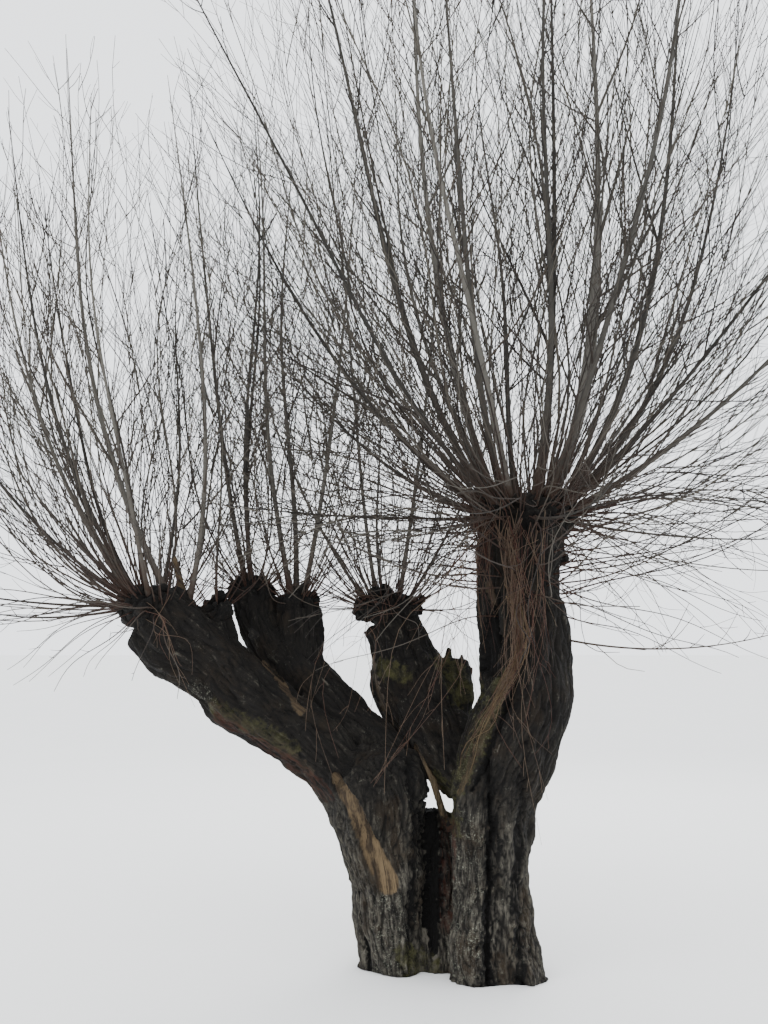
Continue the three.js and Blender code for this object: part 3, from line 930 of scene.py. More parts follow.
@dataclass(frozen=True)
class Mark:
    """Something that runs down the near side of the old wood, placed as it is seen from there.

    The path gives its middle, across and up, in metres, with the half width at each point. It is
    sunk by depth, its edges stand up by lip, and ragged is how far they waver in half widths.
    """

    kind: MarkKind
    path: tuple[Couple, ...]
    half: tuple[float, ...]
    depth: float = 0.0
    lip: float = 0.0
    strength: float = 1.0
    ragged: float = 0.25

    def shares(self, points: np.ndarray, facing: np.ndarray) -> np.ndarray:
        """How far from its middle places are, in half widths.

        Args:
            points: Places in the tree.
            facing: Their normals.

        Returns:
            0 on its middle and 1 on its edge.
        """
        seen = points[:, (0, 2)]
        best = np.full(len(points), FAR)
        for (a, b), (wide, then) in zip(zip(self.path, self.path[1:]), zip(self.half, self.half[1:])):
            run = np.array(b) - a
            along = np.clip((seen - a) @ run / (run @ run), 0, 1)
            gap = np.linalg.norm(seen - a - along[:, None] * run, axis=1)
            best = np.minimum(best, gap / (wide + (then - wide) * along))
        best += self.ragged * noise(points * RAGGED_TURNS, 5)
        return np.where(facing[:, 1] < NEAR_SIDE, best, FAR)


LIMBS = (
    Limb(
        nodes=(("trunk", 0.36), ("right_stem", 0.9), ("upper_head", 1)),
        path=(
            (225, -60, 0), (208, -60, 160), (200, -60, 400), (200, -60, 640), (222, -60, 840),
            (302, -58, 1075), (384, -55, 1300), (388, -52, 1600), (366, -50, 1810),
            (378, -50, 2010), (412, -50, 2200),
        ),
        wide=(240, 212, 198, 204, 210, 234, 218, 222, 216, 204, 234),
        depth=0.92, flutes=0.05, buttress=0.1, seed=11,
    ),
    Limb(
        nodes=(("trunk", 1),),
        path=(
            (-270, 60, 0), (-282, 60, 160), (-304, 60, 400), (-338, 55, 600), (-356, 50, 760),
            (-378, 50, 900), (-405, 50, 1010), (-410, 50, 1075),
        ),
        wide=(170, 172, 192, 206, 238, 246, 168, 70),
        depth=1.08, flutes=0.05, buttress=0.12, seed=5,
    ),
    Limb(
        nodes=(("trunk", 1),),
        path=((-30, 50, 0), (-52, 118, 280), (-60, 138, 560), (-55, 145, 735)),
        wide=(165, 135, 120, 95), depth=0.85, flutes=0.04, seed=3,
    ),
    Limb(
        nodes=(("right_stem", 1),),
        path=(
            (42, -112, 835), (122, -178, 1080), (200, -212, 1270), (254, -240, 1400),
            (275, -250, 1600), (285, -250, 1800),
        ),
        wide=(46, 46, 44, 42, 38, 30), depth=1, flutes=0.05, seed=9,
    ),
    Limb(
        nodes=(("left_arm", 0.86), ("left_head", 1)),
        path=(
            (-400, 40, 700), (-575, 20, 960), (-770, 0, 1125), (-975, -15, 1265),
            (-1180, -30, 1450), (-1355, -42, 1600), (-1500, -52, 1722),
        ),
        wide=(150, 157, 162, 176, 184, 188, 178), depth=0.85, flutes=0.06, seed=21,
    ),
    Limb(
        nodes=(("middle_arm", 1),),
        path=(
            (-235, 90, 760), (-375, 140, 1000), (-500, 170, 1125), (-625, 190, 1240),
            (-735, 205, 1370), (-830, 215, 1500),
        ),
        wide=(160, 158, 152, 146, 144, 128), depth=0.9, flutes=0.06, seed=31,
    ),
    Limb(
        nodes=(("back_arm", 0.86), ("back_head", 1)),
        path=(
            (150, 0, 850), (30, 150, 1005), (-84, 260, 1200), (-178, 320, 1390),
            (-238, 350, 1570), (-298, 360, 1715),
        ),
        wide=(108, 180, 214, 212, 176, 166), depth=0.8, flutes=0.06, seed=41,
    ),
    Limb(
        nodes=(("back_arm", 1),),
        path=((10, 230, 1150), (48, 285, 1330), (66, 315, 1500)),
        wide=(105, 102, 70), depth=0.8, flutes=0.08, seed=43,
    ),
    Limb(
        nodes=(("knob_head", 1),),
        path=((-1115, -25, 1470), (-1155, -22, 1600), (-1178, -20, 1720)),
        wide=(84, 76, 62), depth=1, flutes=0.05, seed=51,
    ),
    Limb(
        nodes=(("fork_left_head", 1),),
        path=((-840, 215, 1430), (-940, 205, 1570), (-1000, 200, 1700), (-1030, 200, 1830)),
        wide=(106, 106, 106, 104), depth=1, flutes=0.05, seed=53,
    ),
    Limb(
        nodes=(("fork_right_head", 1),),
        path=((-765, 222, 1440), (-784, 228, 1600), (-794, 230, 1775)),
        wide=(126, 124, 120), depth=1, flutes=0.05, seed=55,
    ),
)

WOOD_NODES = [*dict.fromkeys(name for limb in LIMBS for name, _ in limb.nodes)]

HEADS = {
    "left": Head("left_head", (-1468, -50, 1745), (122, 84), 88, 6, 36, 61),
    "knob": Head("knob_head", (-1182, -20, 1732), (16, 14), 64, 2, 0, 63),
    "fork_left": Head("fork_left_head", (-1032, 200, 1856), (50, 44), 64, 4, 0, 65),
    "fork_right": Head("fork_right_head", (-795, 230, 1795), (58, 52), 70, 5, 0, 67),
    "back": Head("back_head", (-303, 360, 1772), (110, 84), 84, 5, 0, 69),
    "upper": Head("upper_head", (412, -50, 2225), (160, 135), 104, 7, 0, 71),
    "burl": Head("upper_head", (552, -50, 2030), (24, 40), 50, 4, 0, 73),
}

BARE, ROT, MOSS, LICHEN, CREVICE, FOLD = MarkKind

MARKS = (
    Mark(
        BARE,
        (
            (-0.56, 0.93), (-0.543, 0.892), (-0.486, 0.817), (-0.438, 0.718), (-0.398, 0.629),
            (-0.35, 0.525), (-0.306, 0.43),
        ),
        (0.026, 0.036, 0.042, 0.042, 0.044, 0.052, 0.062), depth=0.016, lip=0.012, ragged=0.12,
    ),
    Mark(
        BARE, ((-0.959, 1.49), (-0.85, 1.38), (-0.80, 1.33), (-0.736, 1.24)),
        (0.008, 0.013, 0.009, 0.016), ragged=0.7,
    ),
    Mark(
        BARE, ((-0.40, 1.50), (-0.36, 1.38), (-0.32, 1.24)), (0.016, 0.022, 0.02), 0.006,
        strength=0.6, ragged=0.8,
    ),
    Mark(
        BARE, ((-0.02, 0.74), (-0.085, 0.92), (-0.155, 1.06)), (0.022, 0.02, 0.014),
        strength=0.75, ragged=0.5,
    ),
    Mark(BARE, ((0.20, 1.88), (0.225, 1.74)), (0.018, 0.012), strength=0.6, ragged=0.9),
    Mark(
        BARE, ((0.045, 0.86), (0.12, 1.06), (0.20, 1.26), (0.27, 1.42)),
        (0.016, 0.024, 0.026, 0.022), strength=0.55, ragged=0.9,
    ),
    Mark(
        FOLD,
        ((0.16, 1.02), (0.19, 0.86), (0.196, 0.70), (0.18, 0.50), (0.164, 0.28), (0.16, 0.0)),
        (0.03, 0.06, 0.07, 0.07, 0.07, 0.08), depth=0.04, ragged=0.3,
    ),
    Mark(
        CREVICE,
        ((0.182, 0.86), (0.196, 0.70), (0.176, 0.56), (0.182, 0.44), (0.16, 0.28), (0.164, 0.0)),
        (0.004, 0.014, 0.008, 0.014, 0.009, 0.018), depth=0.02, ragged=0.9,
    ),
    Mark(CREVICE, ((0.215, 1.76), (0.212, 1.6), (0.20, 1.44)), (0.016, 0.04, 0.03), 0.035, ragged=0.7),
    Mark(
        CREVICE, ((-0.47, 0.36), (-0.43, 0.16), (-0.40, 0.0)), (0.006, 0.01, 0.014), 0.014,
        ragged=0.9,
    ),
    Mark(
        FOLD, ((-0.20, 1.0), (-0.16, 0.70), (-0.17, 0.35), (-0.2, 0.0)),
        (0.03, 0.05, 0.05, 0.06), 0.03, ragged=0.4,
    ),
    Mark(
        CREVICE, ((-0.10, 0.80), (-0.085, 0.62), (-0.07, 0.45), (-0.09, 0.28), (-0.08, 0.1)),
        (0.03, 0.05, 0.042, 0.05, 0.02), depth=0.02, ragged=0.9,
    ),
    Mark(
        FOLD, ((0.36, 1.1), (0.33, 0.8), (0.30, 0.45), (0.32, 0.0)), (0.03, 0.04, 0.04, 0.05),
        0.022, ragged=0.5,
    ),
    Mark(
        CREVICE, ((0.10, 0.88), (0.175, 1.06), (0.25, 1.22), (0.31, 1.38)),
        (0.008, 0.014, 0.014, 0.008), 0.02, ragged=0.7,
    ),
    Mark(ROT, ((-0.01, 0.70), (-0.014, 0.47), (-0.02, 0.19)), (0.03, 0.035, 0.03), 0.008),
    Mark(ROT, ((0.17, 2.20), (0.18, 2.0)), (0.06, 0.05)),
    Mark(ROT, ((-1.15, 1.22), (-0.80, 1.00), (-0.60, 0.84)), (0.03, 0.04, 0.04)),
    Mark(
        BARE, ((-1.18, 1.27), (-1.0, 1.17), (-0.82, 1.06), (-0.68, 0.95)),
        (0.02, 0.035, 0.035, 0.02), strength=0.38, ragged=1.0,
    ),
    Mark(
        LICHEN, ((0.07, 0.72), (0.06, 0.42), (0.06, 0.02)), (0.08, 0.09, 0.09),
        strength=0.8, ragged=0.5,
    ),
    Mark(LICHEN, ((-0.30, 0.36), (-0.27, 0.02)), (0.09, 0.12), strength=0.9, ragged=0.5),
    Mark(LICHEN, ((-1.25, 1.36), (-1.19, 1.30)), (0.05, 0.04), ragged=0.5),
    Mark(
        LICHEN, ((0.04, 0.89), (0.12, 1.08), (0.2, 1.27), (0.25, 1.43)),
        (0.035, 0.04, 0.045, 0.035), strength=0.85, ragged=0.5,
    ),
    Mark(
        MOSS, ((0.03, 0.86), (0.12, 1.08), (0.2, 1.27), (0.25, 1.43)),
        (0.04, 0.045, 0.045, 0.03), strength=0.8, ragged=0.5,
    ),
    Mark(
        MOSS, ((-1.17, 1.27), (-1.0, 1.19), (-0.77, 1.07)), (0.04, 0.05, 0.04),
        strength=0.65, ragged=0.8,
    ),
    Mark(MOSS, ((-0.33, 1.46), (-0.22, 1.42)), (0.06, 0.05), ragged=0.6),
    Mark(MOSS, ((0.0, 1.48), (0.10, 1.34)), (0.07, 0.08), ragged=0.6),
    Mark(MOSS, ((-0.06, 0.93), (0.0, 0.78), (0.02, 0.68)), (0.035, 0.05, 0.04), ragged=0.5),
    Mark(MOSS, ((-0.22, 0.10), (-0.12, 0.0)), (0.06, 0.08), ragged=0.6),
)

SNAGS = (
    Snag((0.0, 0.03, 0.64), (-0.085, -0.04, 0.92), 0.019, bare=0.5),
    Snag((-0.08, -0.04, 0.90), (-0.152, -0.065, 1.05), 0.013, 0.6, bare=0.7),
    Snag((-0.50, 0.03, 0.40), (-0.535, 0.01, 0.64), 0.02, 0.6),
    Snag((-1.345, -0.03, 1.78), (-1.41, -0.03, 2.03), 0.019, 0.75, bare=1.0),
    Snag((0.02, 0.30, 1.44), (0.03, 0.31, 1.565), 0.03, 0.45),
    Snag((0.08, 0.31, 1.42), (0.10, 0.30, 1.53), 0.026, 0.35),
    Snag((0.12, 0.29, 1.36), (0.15, 0.28, 1.46), 0.024, 0.4),
    Snag((-0.985, -0.06, 1.62), (-1.0, -0.08, 1.66), 0.02, 0.5),
)
SNAG_CALM = 0.85


@dataclass
class OldWood:
    """The trunk, the boughs and the heads: one skin with bark relief, parted node by node.

    Ridges and lumps are layers as creased takes them, and gnarl is the rise of the body below. A
    limb's weight at a place falls off with merge and ends at reach, in radii, and a head's is
    head_pull times as strong.
    """

    voxel: float = 0.007
    easings: int = 5
    settlings: int = 4
    merge: float = 10
    reach: float = 2.2
    head_pull: float = 2.5
    worn_top: float = 1.25
    worn_foot: float = 0.3
    fibre_rise: float = 0.0025
    gnarl: float = 0.02
    gnarl_turns: tuple[Triple, Triple] = ((4.5, 4.5, 3.5), (11, 11, 8))
    warp_turns: Triple = (6, 6, 4)
    warp_by: float = 0.024
    curl_turns: Triple = (22, 22, 12)
    curl_by: float = 0.008
    ridges: tuple[tuple[float, ...], ...] = (
        (5, 1.0, 0.026, 0.2), (13, 2.4, 0.014, 0.3), (30, 6.0, 0.013, 0.75), (62, 15, 0.005, 0.6),
    )
    lumps: tuple[tuple[float, ...], ...] = (
        (9, 7, 0.046, 0.8), (22, 18, 0.026, 0.95), (50, 40, 0.009, 0.9),
    )
    lump_seed: int = 90
    crevice_dark: float = 1.3
    fold_dark: float = 0.5
    bark: OldBark = field(default_factory=OldBark)

    def build(self) -> Pieces:
        """Builds and dresses every piece of old wood.

        Returns:
            The pieces.
        """
        mesh = self.whole_skin()
        points, facing, edges, quads = self.arrays(mesh)
        bpy.data.meshes.remove(mesh)
        points = self.eased(points, edges, self.easings)
        height, looks, labels = self.relief(points, facing)
        ground = points[:, 2] < 0.6 * self.voxel
        points = points + facing * height[:, None]
        points[:, 2] = np.where(ground, 0, np.maximum(points[:, 2], 0.001))
        shares = self.eased(np.eye(len(WOOD_NODES))[labels], edges, self.settlings)
        labels = shares.argmax(axis=1)
        material = self.bark.material()
        made = []
        for number, node in enumerate(WOOD_NODES):
            faces = quads[labels[quads[:, 0]] == number]
            slot = Slot.CORK if node.endswith("head") else Slot.BARK
            piece = self.piece(f"old_{node}", points, faces, looks, material)
            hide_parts(node)
            made += dressed([piece], slot)
        return made

    def whole_skin(self) -> bpy.types.Mesh:
        """One closed skin round all limbs, knuckles, knobs and snags.

        Returns:
            A mesh of quads.
        """
        skins = [limb.skin() for limb in LIMBS]
        skins += [skin for head in HEADS.values() for skin in head.skins()]
        skins += [stub(snag.foot, snag.end, snag.size, snag.tip) for snag in SNAGS]
        start, vertices, triangles = 0, [], []
        for some, three in skins:
            vertices.append(some)
            triangles.append(three + start)
            start += len(some)
        mesh = bpy.data.meshes.new("skin")
        mesh.from_pydata(np.vstack(vertices).tolist(), [], np.vstack(triangles).tolist())
        carrier = linked("skin", mesh)
        remesh = carrier.modifiers.new("remesh", "REMESH")
        remesh.mode = "VOXEL"
        remesh.voxel_size = self.voxel
        return applied(carrier)

    def arrays(self, mesh: bpy.types.Mesh) -> tuple[np.ndarray, ...]:
        """The skin's points, normals, edges and faces of four corners.

        Args:
            mesh: The skin.

        Returns:
            A row for each, the last two as numbers of points.
        """
        points = fetched(mesh.vertices, "co", 3, np.float32).astype(float)
        facing = fetched(mesh.vertex_normals, "vector", 3, np.float32).astype(float)
        edges = fetched(mesh.edges, "vertices", 2, np.int32)
        quads = fetched(mesh.loops, "vertex_index", 1, np.int32).reshape(-1, 4)
        return points, facing, edges, quads

    def eased(self, values: np.ndarray, edges: np.ndarray, rounds: int) -> np.ndarray:
        """Each vertex's values, brought towards those of its neighbours.

        Args:
            values: A row for each vertex.
            edges: Pairs of neighbours.
            rounds: How often this is done.

        Returns:
            The eased values.
        """
        both = np.vstack([edges, edges[:, ::-1]])
        count = np.bincount(both[:, 0], minlength=len(values))[:, None]
        for _ in range(rounds):
            total = np.stack(
                [np.bincount(both[:, 0], column[both[:, 1]], len(values)) for column in values.T],
                axis=1,
            )
            values = (values + total / np.maximum(count, 1)) / 2
        return values

    def relief(
        self, points: np.ndarray, facing: np.ndarray
    ) -> tuple[np.ndarray, dict[str, np.ndarray], np.ndarray]:
        """The height of the bark at each vertex, and what it looks like there.

        Args:
            points: The vertices.
            facing: Their normals.

        Returns:
            The heights, the attributes by name, and the number of the node that each belongs to.
        """
        count = len(points)
        total, height, furrow, best = (np.zeros(count) for _ in range(4))
        grain = np.zeros((count, 3))
        labels = np.zeros(count, dtype=int)
        for limb in LIMBS:
            local, ratio, share = limb.straightened(points)
            weight = np.exp(-self.merge * ratio)
            use = np.flatnonzero(ratio < self.reach)
            rise, dark = self.bark_relief(local[use], limb.seed)
            height[use] += weight[use] * rise
            furrow[use] += weight[use] * dark
            total += weight
            ends = np.array([end for _, end in limb.nodes])
            own = np.array([WOOD_NODES.index(name) for name, _ in limb.nodes])
            stage = np.searchsorted(ends[:-1], share)
            first = weight > best
            labels[first] = own[stage[first]]
            grain[first] = local[first] + limb.seed
            best = np.maximum(best, weight)
        cork_total = np.zeros(count)
        for head in HEADS.values():
            ratio = head.gap(points)
            weight = np.where(ratio < self.reach, self.head_pull * np.exp(-self.merge * ratio), 0)
            use = np.flatnonzero(weight > 0)
            rise, dark = self.creased(points[use], self.lumps, self.lump_seed)
            height[use] += weight[use] * rise
            furrow[use] += weight[use] * dark
            total += weight
            cork_total += weight
            first = weight > best
            labels[first] = WOOD_NODES.index(head.node)
            best = np.maximum(best, weight)
        total = np.maximum(total, 1e-9)
        looks = {"furrow": furrow / total, "grain": grain, "cork": cork_total / total}
        height = height / total
        # worn rises towards the ground; it greys the crests, and where it is low the upper wood takes
        # painted shade and painted highlights
        level = points[:, 2] + 0.25 * noise(points * 4, 6)
        looks["worn"] = smooth_step(self.worn_top, self.worn_foot, level)
        for kind in (BARE, ROT, MOSS, LICHEN):
            looks[kind.value] = np.zeros(count)
        for mark in MARKS:
            out = mark.shares(points, facing)
            inside = smooth_step(1.0, -0.2 if mark.kind is FOLD else 0.8, out)
            lip = smooth_step(0.8, 1.05, out) * smooth_step(1.6, 1.15, out)
            if mark.kind is BARE:
                fibres = noise(looks["grain"] * (70, 70, 6), 8)
                flat = inside * mark.strength
                height = height * (1 - flat) + flat * self.fibre_rise * fibres
                looks["furrow"] = looks["furrow"] * (1 - flat)
            height = height - inside * mark.depth + mark.lip * lip
            # painted shade: crevices and folds are darkened as well as sunk
            if mark.kind in (CREVICE, FOLD):
                dark = self.crevice_dark if mark.kind is CREVICE else self.fold_dark
                looks["furrow"] = looks["furrow"] + dark * inside
            else:
                kept = looks[mark.kind.value]
                looks[mark.kind.value] = np.maximum(kept, inside * mark.strength)
        for snag in SNAGS:
            near = snag.nearness(points)
            height *= 1 - SNAG_CALM * near
            looks["bare"] = np.maximum(looks["bare"], snag.bare * near)
        return height, looks, labels

    def creased(
        self, points: np.ndarray, layers: Iterable[tuple[float, ...]], seed: int
    ) -> Pair:
        """Rounded swellings with sharp creases between them, in finer and finer layers.

        Args:
            points: Places, in metres.
            layers: How often each layer turns in a metre, across and along, its rise, and how dark the
            painted shade in its creases is.
            seed: Chooses the pattern.

        Returns:
            The heights, and how much painted shade each place gets in the creases, from 0 to 1.
        """
        height = np.zeros(len(points))
        crease_shade = np.zeros(len(points))
        for number, (across, along, rise, dark) in enumerate(layers):
            wave = np.minimum(1, 2.4 * abs(noise(points * (across, across, along), seed + number)))
            height += rise * (wave**0.65 - 0.65)
            # painted shade: each layer darkens its creases
            crease_shade = np.maximum(crease_shade, dark * (1 - wave) ** 2)
        return height, crease_shade

    def bark_relief(self, local: np.ndarray, seed: int) -> Pair:
        """Ridges that run along the limb, fork and meet, on a gnarled body.

        Args:
            local: Places in a limb's own space.
            seed: The limb's seed.

        Returns:
            The heights, and how much painted shade each place gets in the furrows, from 0 to 1.
        """
        warp = np.stack([noise(local * self.warp_turns, seed + k) for k in range(3)], axis=1)
        curl = np.stack([noise(local * self.curl_turns, seed + 5 + k) for k in range(3)], axis=1)
        bent = local + self.warp_by * warp + self.curl_by * curl
        height, furrow = self.creased(bent, self.ridges, seed + 10)
        broad, small = (noise(local * turns, seed + 3 + k) for k, turns in enumerate(self.gnarl_turns))
        return height + self.gnarl * (broad + 0.7 * small + 0.6 * warp[:, 0]), furrow

    def piece(
        self,
        name: str,
        points: np.ndarray,
        faces: np.ndarray,
        looks: dict[str, np.ndarray],
        material: bpy.types.Material,
    ) -> bpy.types.Object:
        """One node's part of the skin, closed where it was parted from the rest.

        Args:
            name: The piece's name.
            points: All vertices.
            faces: The faces that belong to the piece.
            looks: The attributes by name.
            material: Its material.

        Returns:
            The piece.
        """
        used, corners = np.unique(faces, return_inverse=True)
        corners = corners.reshape(-1, 4)
        skin = points[used]
        caps, middles = self.caps(corners, skin)
        mesh = bpy.data.meshes.new(name)
        vertices = np.vstack([skin, middles])
        mesh.from_pydata(vertices.tolist(), [], [*corners.tolist(), *caps.tolist()], shade_flat=False)
        flat = np.repeat([False, True], [len(corners), len(caps)])
        mesh.attributes.new("sharp_face", "BOOLEAN", "FACE").data.foreach_set("value", flat)
        for look, values in looks.items():
            rest = np.zeros((len(middles), *values.shape[1:]))
            mark_points(mesh, look, np.concatenate([values[used], rest]))
        mesh.materials.append(material)
        LOG.info("%s: %d faces, %d of them caps", name, len(mesh.polygons), len(caps))
        return linked(name, mesh)

    def caps(self, quads: np.ndarray, skin: np.ndarray) -> Pair:
        """Fans that close a part of the skin wherever it was cut from the rest.

        Args:
            quads: The part's faces.
            skin: Its vertices.

        Returns:
            The triangles, and the middles of the fans, which are numbered on from the vertices.
        """
        ways = np.stack([quads, np.roll(quads, -1, axis=1)], axis=-1).reshape(-1, 2)
        code = ways[:, 0] * len(skin) + ways[:, 1]
        back = ways[:, 1] * len(skin) + ways[:, 0]
        rim = ways[~np.isin(code, back)]
        group = np.arange(len(skin))
        changed = True
        while changed:
            lowest = group.copy()
            np.minimum.at(lowest, rim[:, 0], group[rim[:, 1]])
            np.minimum.at(lowest, rim[:, 1], group[rim[:, 0]])
            lowest = lowest[lowest]
            changed = bool((lowest != group).any())
            group = lowest
        loops, own = np.unique(group[rim[:, 0]], return_inverse=True)
        count = np.bincount(own, minlength=len(loops))[:, None]
        total = np.zeros((len(loops), 3))
        np.add.at(total, own, skin[rim[:, 0]])
        fans = np.stack([rim[:, 1], rim[:, 0], own + len(skin)], axis=-1)
        return fans, total / np.maximum(count, 1)


def applied(carrier: bpy.types.Object) -> bpy.types.Mesh:
    """The mesh that an object's modifiers make; the object itself is removed.

    Args:
        carrier: The object.

    Returns:
        A plain mesh.
    """
    graph = bpy.context.evaluated_depsgraph_get()
    made = bpy.data.meshes.new_from_object(carrier.evaluated_get(graph), depsgraph=graph)
    source = carrier.data
    bpy.data.objects.remove(carrier)
    bpy.data.meshes.remove(source)
    return made


@dataclass(frozen=True)
class Row:
    """A row of rods on a head.

    It gives one rod's heading, in degrees from +X towards +Y, or shares its count out over an arc
    of headings, all round where none is given. A rod leans from the vertical by lean at its foot
    and by tip at its end, and the higher the sweep, the sooner it turns up. Out is how far from
    the head's centre it starts, in shares of the spread, and its rods start by up to drop lower.
    """

    name: str
    lean: float
    tip: float
    sweep: float
    length: float
    foot: float
    heading: float = 0.0
    count: int = 1
    arc: Couple = (0, 360)
    out: float | None = None
    drop: float = 0.0


ROWS = {
    "upper": (
        Row("mast", 25, 0, 5, 4400, 31, heading=5, out=0.6),
        Row("straight", 10, 0, 4, 4150, 24, heading=350, out=0.3),
        Row("near_left", 17, 2, 4, 4100, 25, heading=190, out=0.6),
        Row("mid_left", 22, 1.5, 3, 4250, 26, heading=170, out=0.75),
        Row("far_left", 37, 12, 4, 4000, 24, heading=184, out=0.85),
        Row("wide_left", 56, 24, 2, 3000, 19, heading=176, out=0.95),
        Row("mid_right", 38, 3, 2.8, 3850, 25, heading=-8, out=0.85),
        Row("far_right", 50, 4, 1.5, 3600, 24, heading=8, out=0.9),
        Row("wide_right", 62, 34, 1.4, 2900, 19, heading=-4, out=0.95),
        Row("front", 40, 7, 2.1, 3700, 21, count=3, arc=(215, 325)),
        Row("rear", 40, 7, 2.1, 3700, 21, count=3, arc=(35, 145)),
        Row("low", 66, 34, 1.4, 2850, 16, count=4),
        Row("skirt", 96, 82, 1, 1550, 9, count=4, arc=(-45, 315)),
    ),
    "left": (
        Row("leader", 31, 4, 2, 3300, 21, heading=178, out=-0.85),
        Row("inner", -14, 9, 3, 3080, 18, heading=184, out=-1),
        Row("outer", 46, 8, 2, 2750, 17, heading=186, out=0.5),
        Row("wide", 64, 30, 1.6, 1900, 13, heading=176, out=0.8),
        Row("round", 37, 8, 2, 2500, 15, count=4, arc=(75, 285)),
        Row("skirt", 92, 76, 1, 1150, 9, count=2, arc=(150, 225)),
    ),
    "knob": (Row("leader", 16, 6, 2, 1800, 9, heading=110, out=0.45),),
    "fork_left": (Row("leader", 13, 5, 2, 2750, 17, count=3, arc=(60, 290)),),
    "fork_right": (Row("leader", 11, 3, 2, 2950, 18, count=3, arc=(-60, 270)),),
    "back": (
        Row("leader", 11, 3, 2, 2700, 14, count=2, arc=(-90, 240)),
        Row("outer", 48, 15, 2, 2400, 12, count=3, arc=(10, 180)),
    ),
}

TWIN_LOW_ROWS = (
    Row("whip", 80, 50, 1.4, 900, 3.6, count=8),
    Row("tuft", 58, 26, 1.3, 700, 3.2, count=14),
)

FILLERS = {
    "upper": (
        Row("inner", 20, 3, 3, 3800, 10, count=3),
        Row("spread", 38, 9, 2.2, 3400, 9, count=6, arc=(-40, 235)),
        Row("open", 56, 22, 1.7, 2900, 8, count=8, arc=(-45, 230)),
        Row("slim", 24, 5, 3, 3900, 5.2, count=18),
        Row("slim_spread", 44, 14, 2, 3500, 4.8, count=28),
        Row("wand", 30, 7, 2.2, 3600, 4.0, count=18),
        Row("wand_spread", 56, 22, 1.8, 3100, 3.9, count=24),
        Row("lean", 68, 30, 1.5, 2700, 4.6, count=26, arc=(-55, 245)),
        Row("whip", 86, 44, 1.7, 2100, 4.6, count=30, arc=(-70, 250)),
        Row("droop", 84, 108, 1.4, 1900, 4.8, count=38, arc=(-80, 260)),
        Row("hang", 104, 136, 1.3, 1250, 4.2, count=24, arc=(-90, 265)),
        Row("shoot", 52, 20, 1.5, 1500, 3.8, count=24),
        Row("tuft", 62, 30, 1.3, 800, 3.2, count=34),
        Row("stem", 86, 62, 1.3, 1700, 4.8, count=44, arc=(-100, 280), out=1.1, drop=420),
        Row("stem_low", 96, 112, 1.2, 1100, 4.2, count=26, arc=(-100, 280), out=1.1, drop=520),
        Row("stem_short", 76, 40, 1.3, 700, 3.2, count=36, arc=(-60, 250), out=1.1, drop=440),
    ),
    "left": (
        Row("inner", 20, 5, 2.5, 2800, 9, count=2, arc=(40, 230)),
        Row("spread", 44, 10, 2, 2500, 8, count=4, arc=(40, 230)),
        Row("open", 64, 12, 1.9, 2300, 6.5, count=9, arc=(80, 235)),
        Row("slim", 24, 6, 2.4, 3000, 4.6, count=8, arc=(30, 250)),
        Row("slim_spread", 50, 12, 2, 2500, 4.6, count=17, arc=(70, 245)),
        Row("wand", 28, 6, 2.2, 2800, 3.9, count=10, arc=(30, 300)),
        Row("wand_spread", 58, 16, 1.9, 2300, 3.8, count=14, arc=(70, 290)),
        Row("whip", 82, 22, 1.7, 1700, 4.6, count=24, arc=(90, 245)),
        Row("shoot", 46, 18, 1.5, 1300, 3.8, count=12, arc=(0, 240)),
        Row("droop", 84, 100, 1.3, 1200, 4.5, count=16, arc=(90, 265)),
        Row("hang", 108, 132, 1.2, 700, 4, count=10, arc=(130, 300)),
        Row("tuft", 58, 26, 1.3, 750, 3.2, count=30),
    ),
    "knob": (
        Row("shoot", 30, 10, 1.6, 1300, 4.5, count=5),
        Row("tuft", 55, 26, 1.3, 650, 3.2, count=7),
    ),
    "fork_left": (
        Row("spread", 26, 10, 2, 2200, 7, count=2, arc=(30, 230)),
        Row("slim", 28, 6, 2, 2500, 4.4, count=6),
        Row("wand", 24, 8, 2, 2300, 4.2, count=5),
        Row("shoot", 52, 18, 1.6, 1250, 3.8, count=12),
        *TWIN_LOW_ROWS,
    ),
    "fork_right": (
        Row("spread", 24, 9, 2, 2300, 7, count=2, arc=(-20, 220)),
        Row("slim", 28, 6, 2, 2600, 4.4, count=7),
        Row("wand", 24, 8, 2, 2400, 4.2, count=5),
        Row("shoot", 50, 18, 1.6, 1300, 3.8, count=12),
        *TWIN_LOW_ROWS,
    ),
    "back": (
        Row("spread", 32, 10, 2, 2200, 6, count=4, arc=(-20, 230)),
        Row("slim", 22, 6, 2, 2400, 4.4, count=6),
        Row("wand", 30, 9, 2, 2200, 4.2, count=8),
        Row("open", 66, 28, 1.6, 1700, 5, count=10, arc=(10, 370)),
        Row("shoot", 52, 20, 1.6, 1200, 3.8, count=14),
        Row("whip", 86, 54, 1.5, 1000, 3.6, count=14),
        Row("droop", 90, 116, 1.3, 700, 3.4, count=8, arc=(160, 380)),
        Row("tuft", 56, 24, 1.3, 800, 3.2, count=28),
    ),
}
HEADING_SCATTER = 7
LEAN_SCATTER = 0.12
LENGTH_SCATTER = 0.07
LONE_SCATTER = 0.3
ROD_STEPS = 48
ROD_BARS = 6
ROD_ROOM = 5
TURN_STEP = 9
TURNS = 40
ROD_TIP = 3
ROD_TAPER = 0.85
FINE_TIP = 1.2
DRAWN_SIZE = 0.88
DRAWN_TAPER = 1.15
WANDER_TURN = 7
NOD_TURN = 8
OUT_LEAST = 0.35
OUT_MORE = 0.6
FULL_LEAN = 50
CUT_BACK = 0.9
FILLER_ROOM = 25
FILLER_ROWS_FROM = 40
ROW_SEED = 900
ROW_SEED_STEP = 37
GOLDEN = 0.618
FILLER_WANDER = 0.2
FILLER_NOD = 9
FILLER_STRIDE = 3


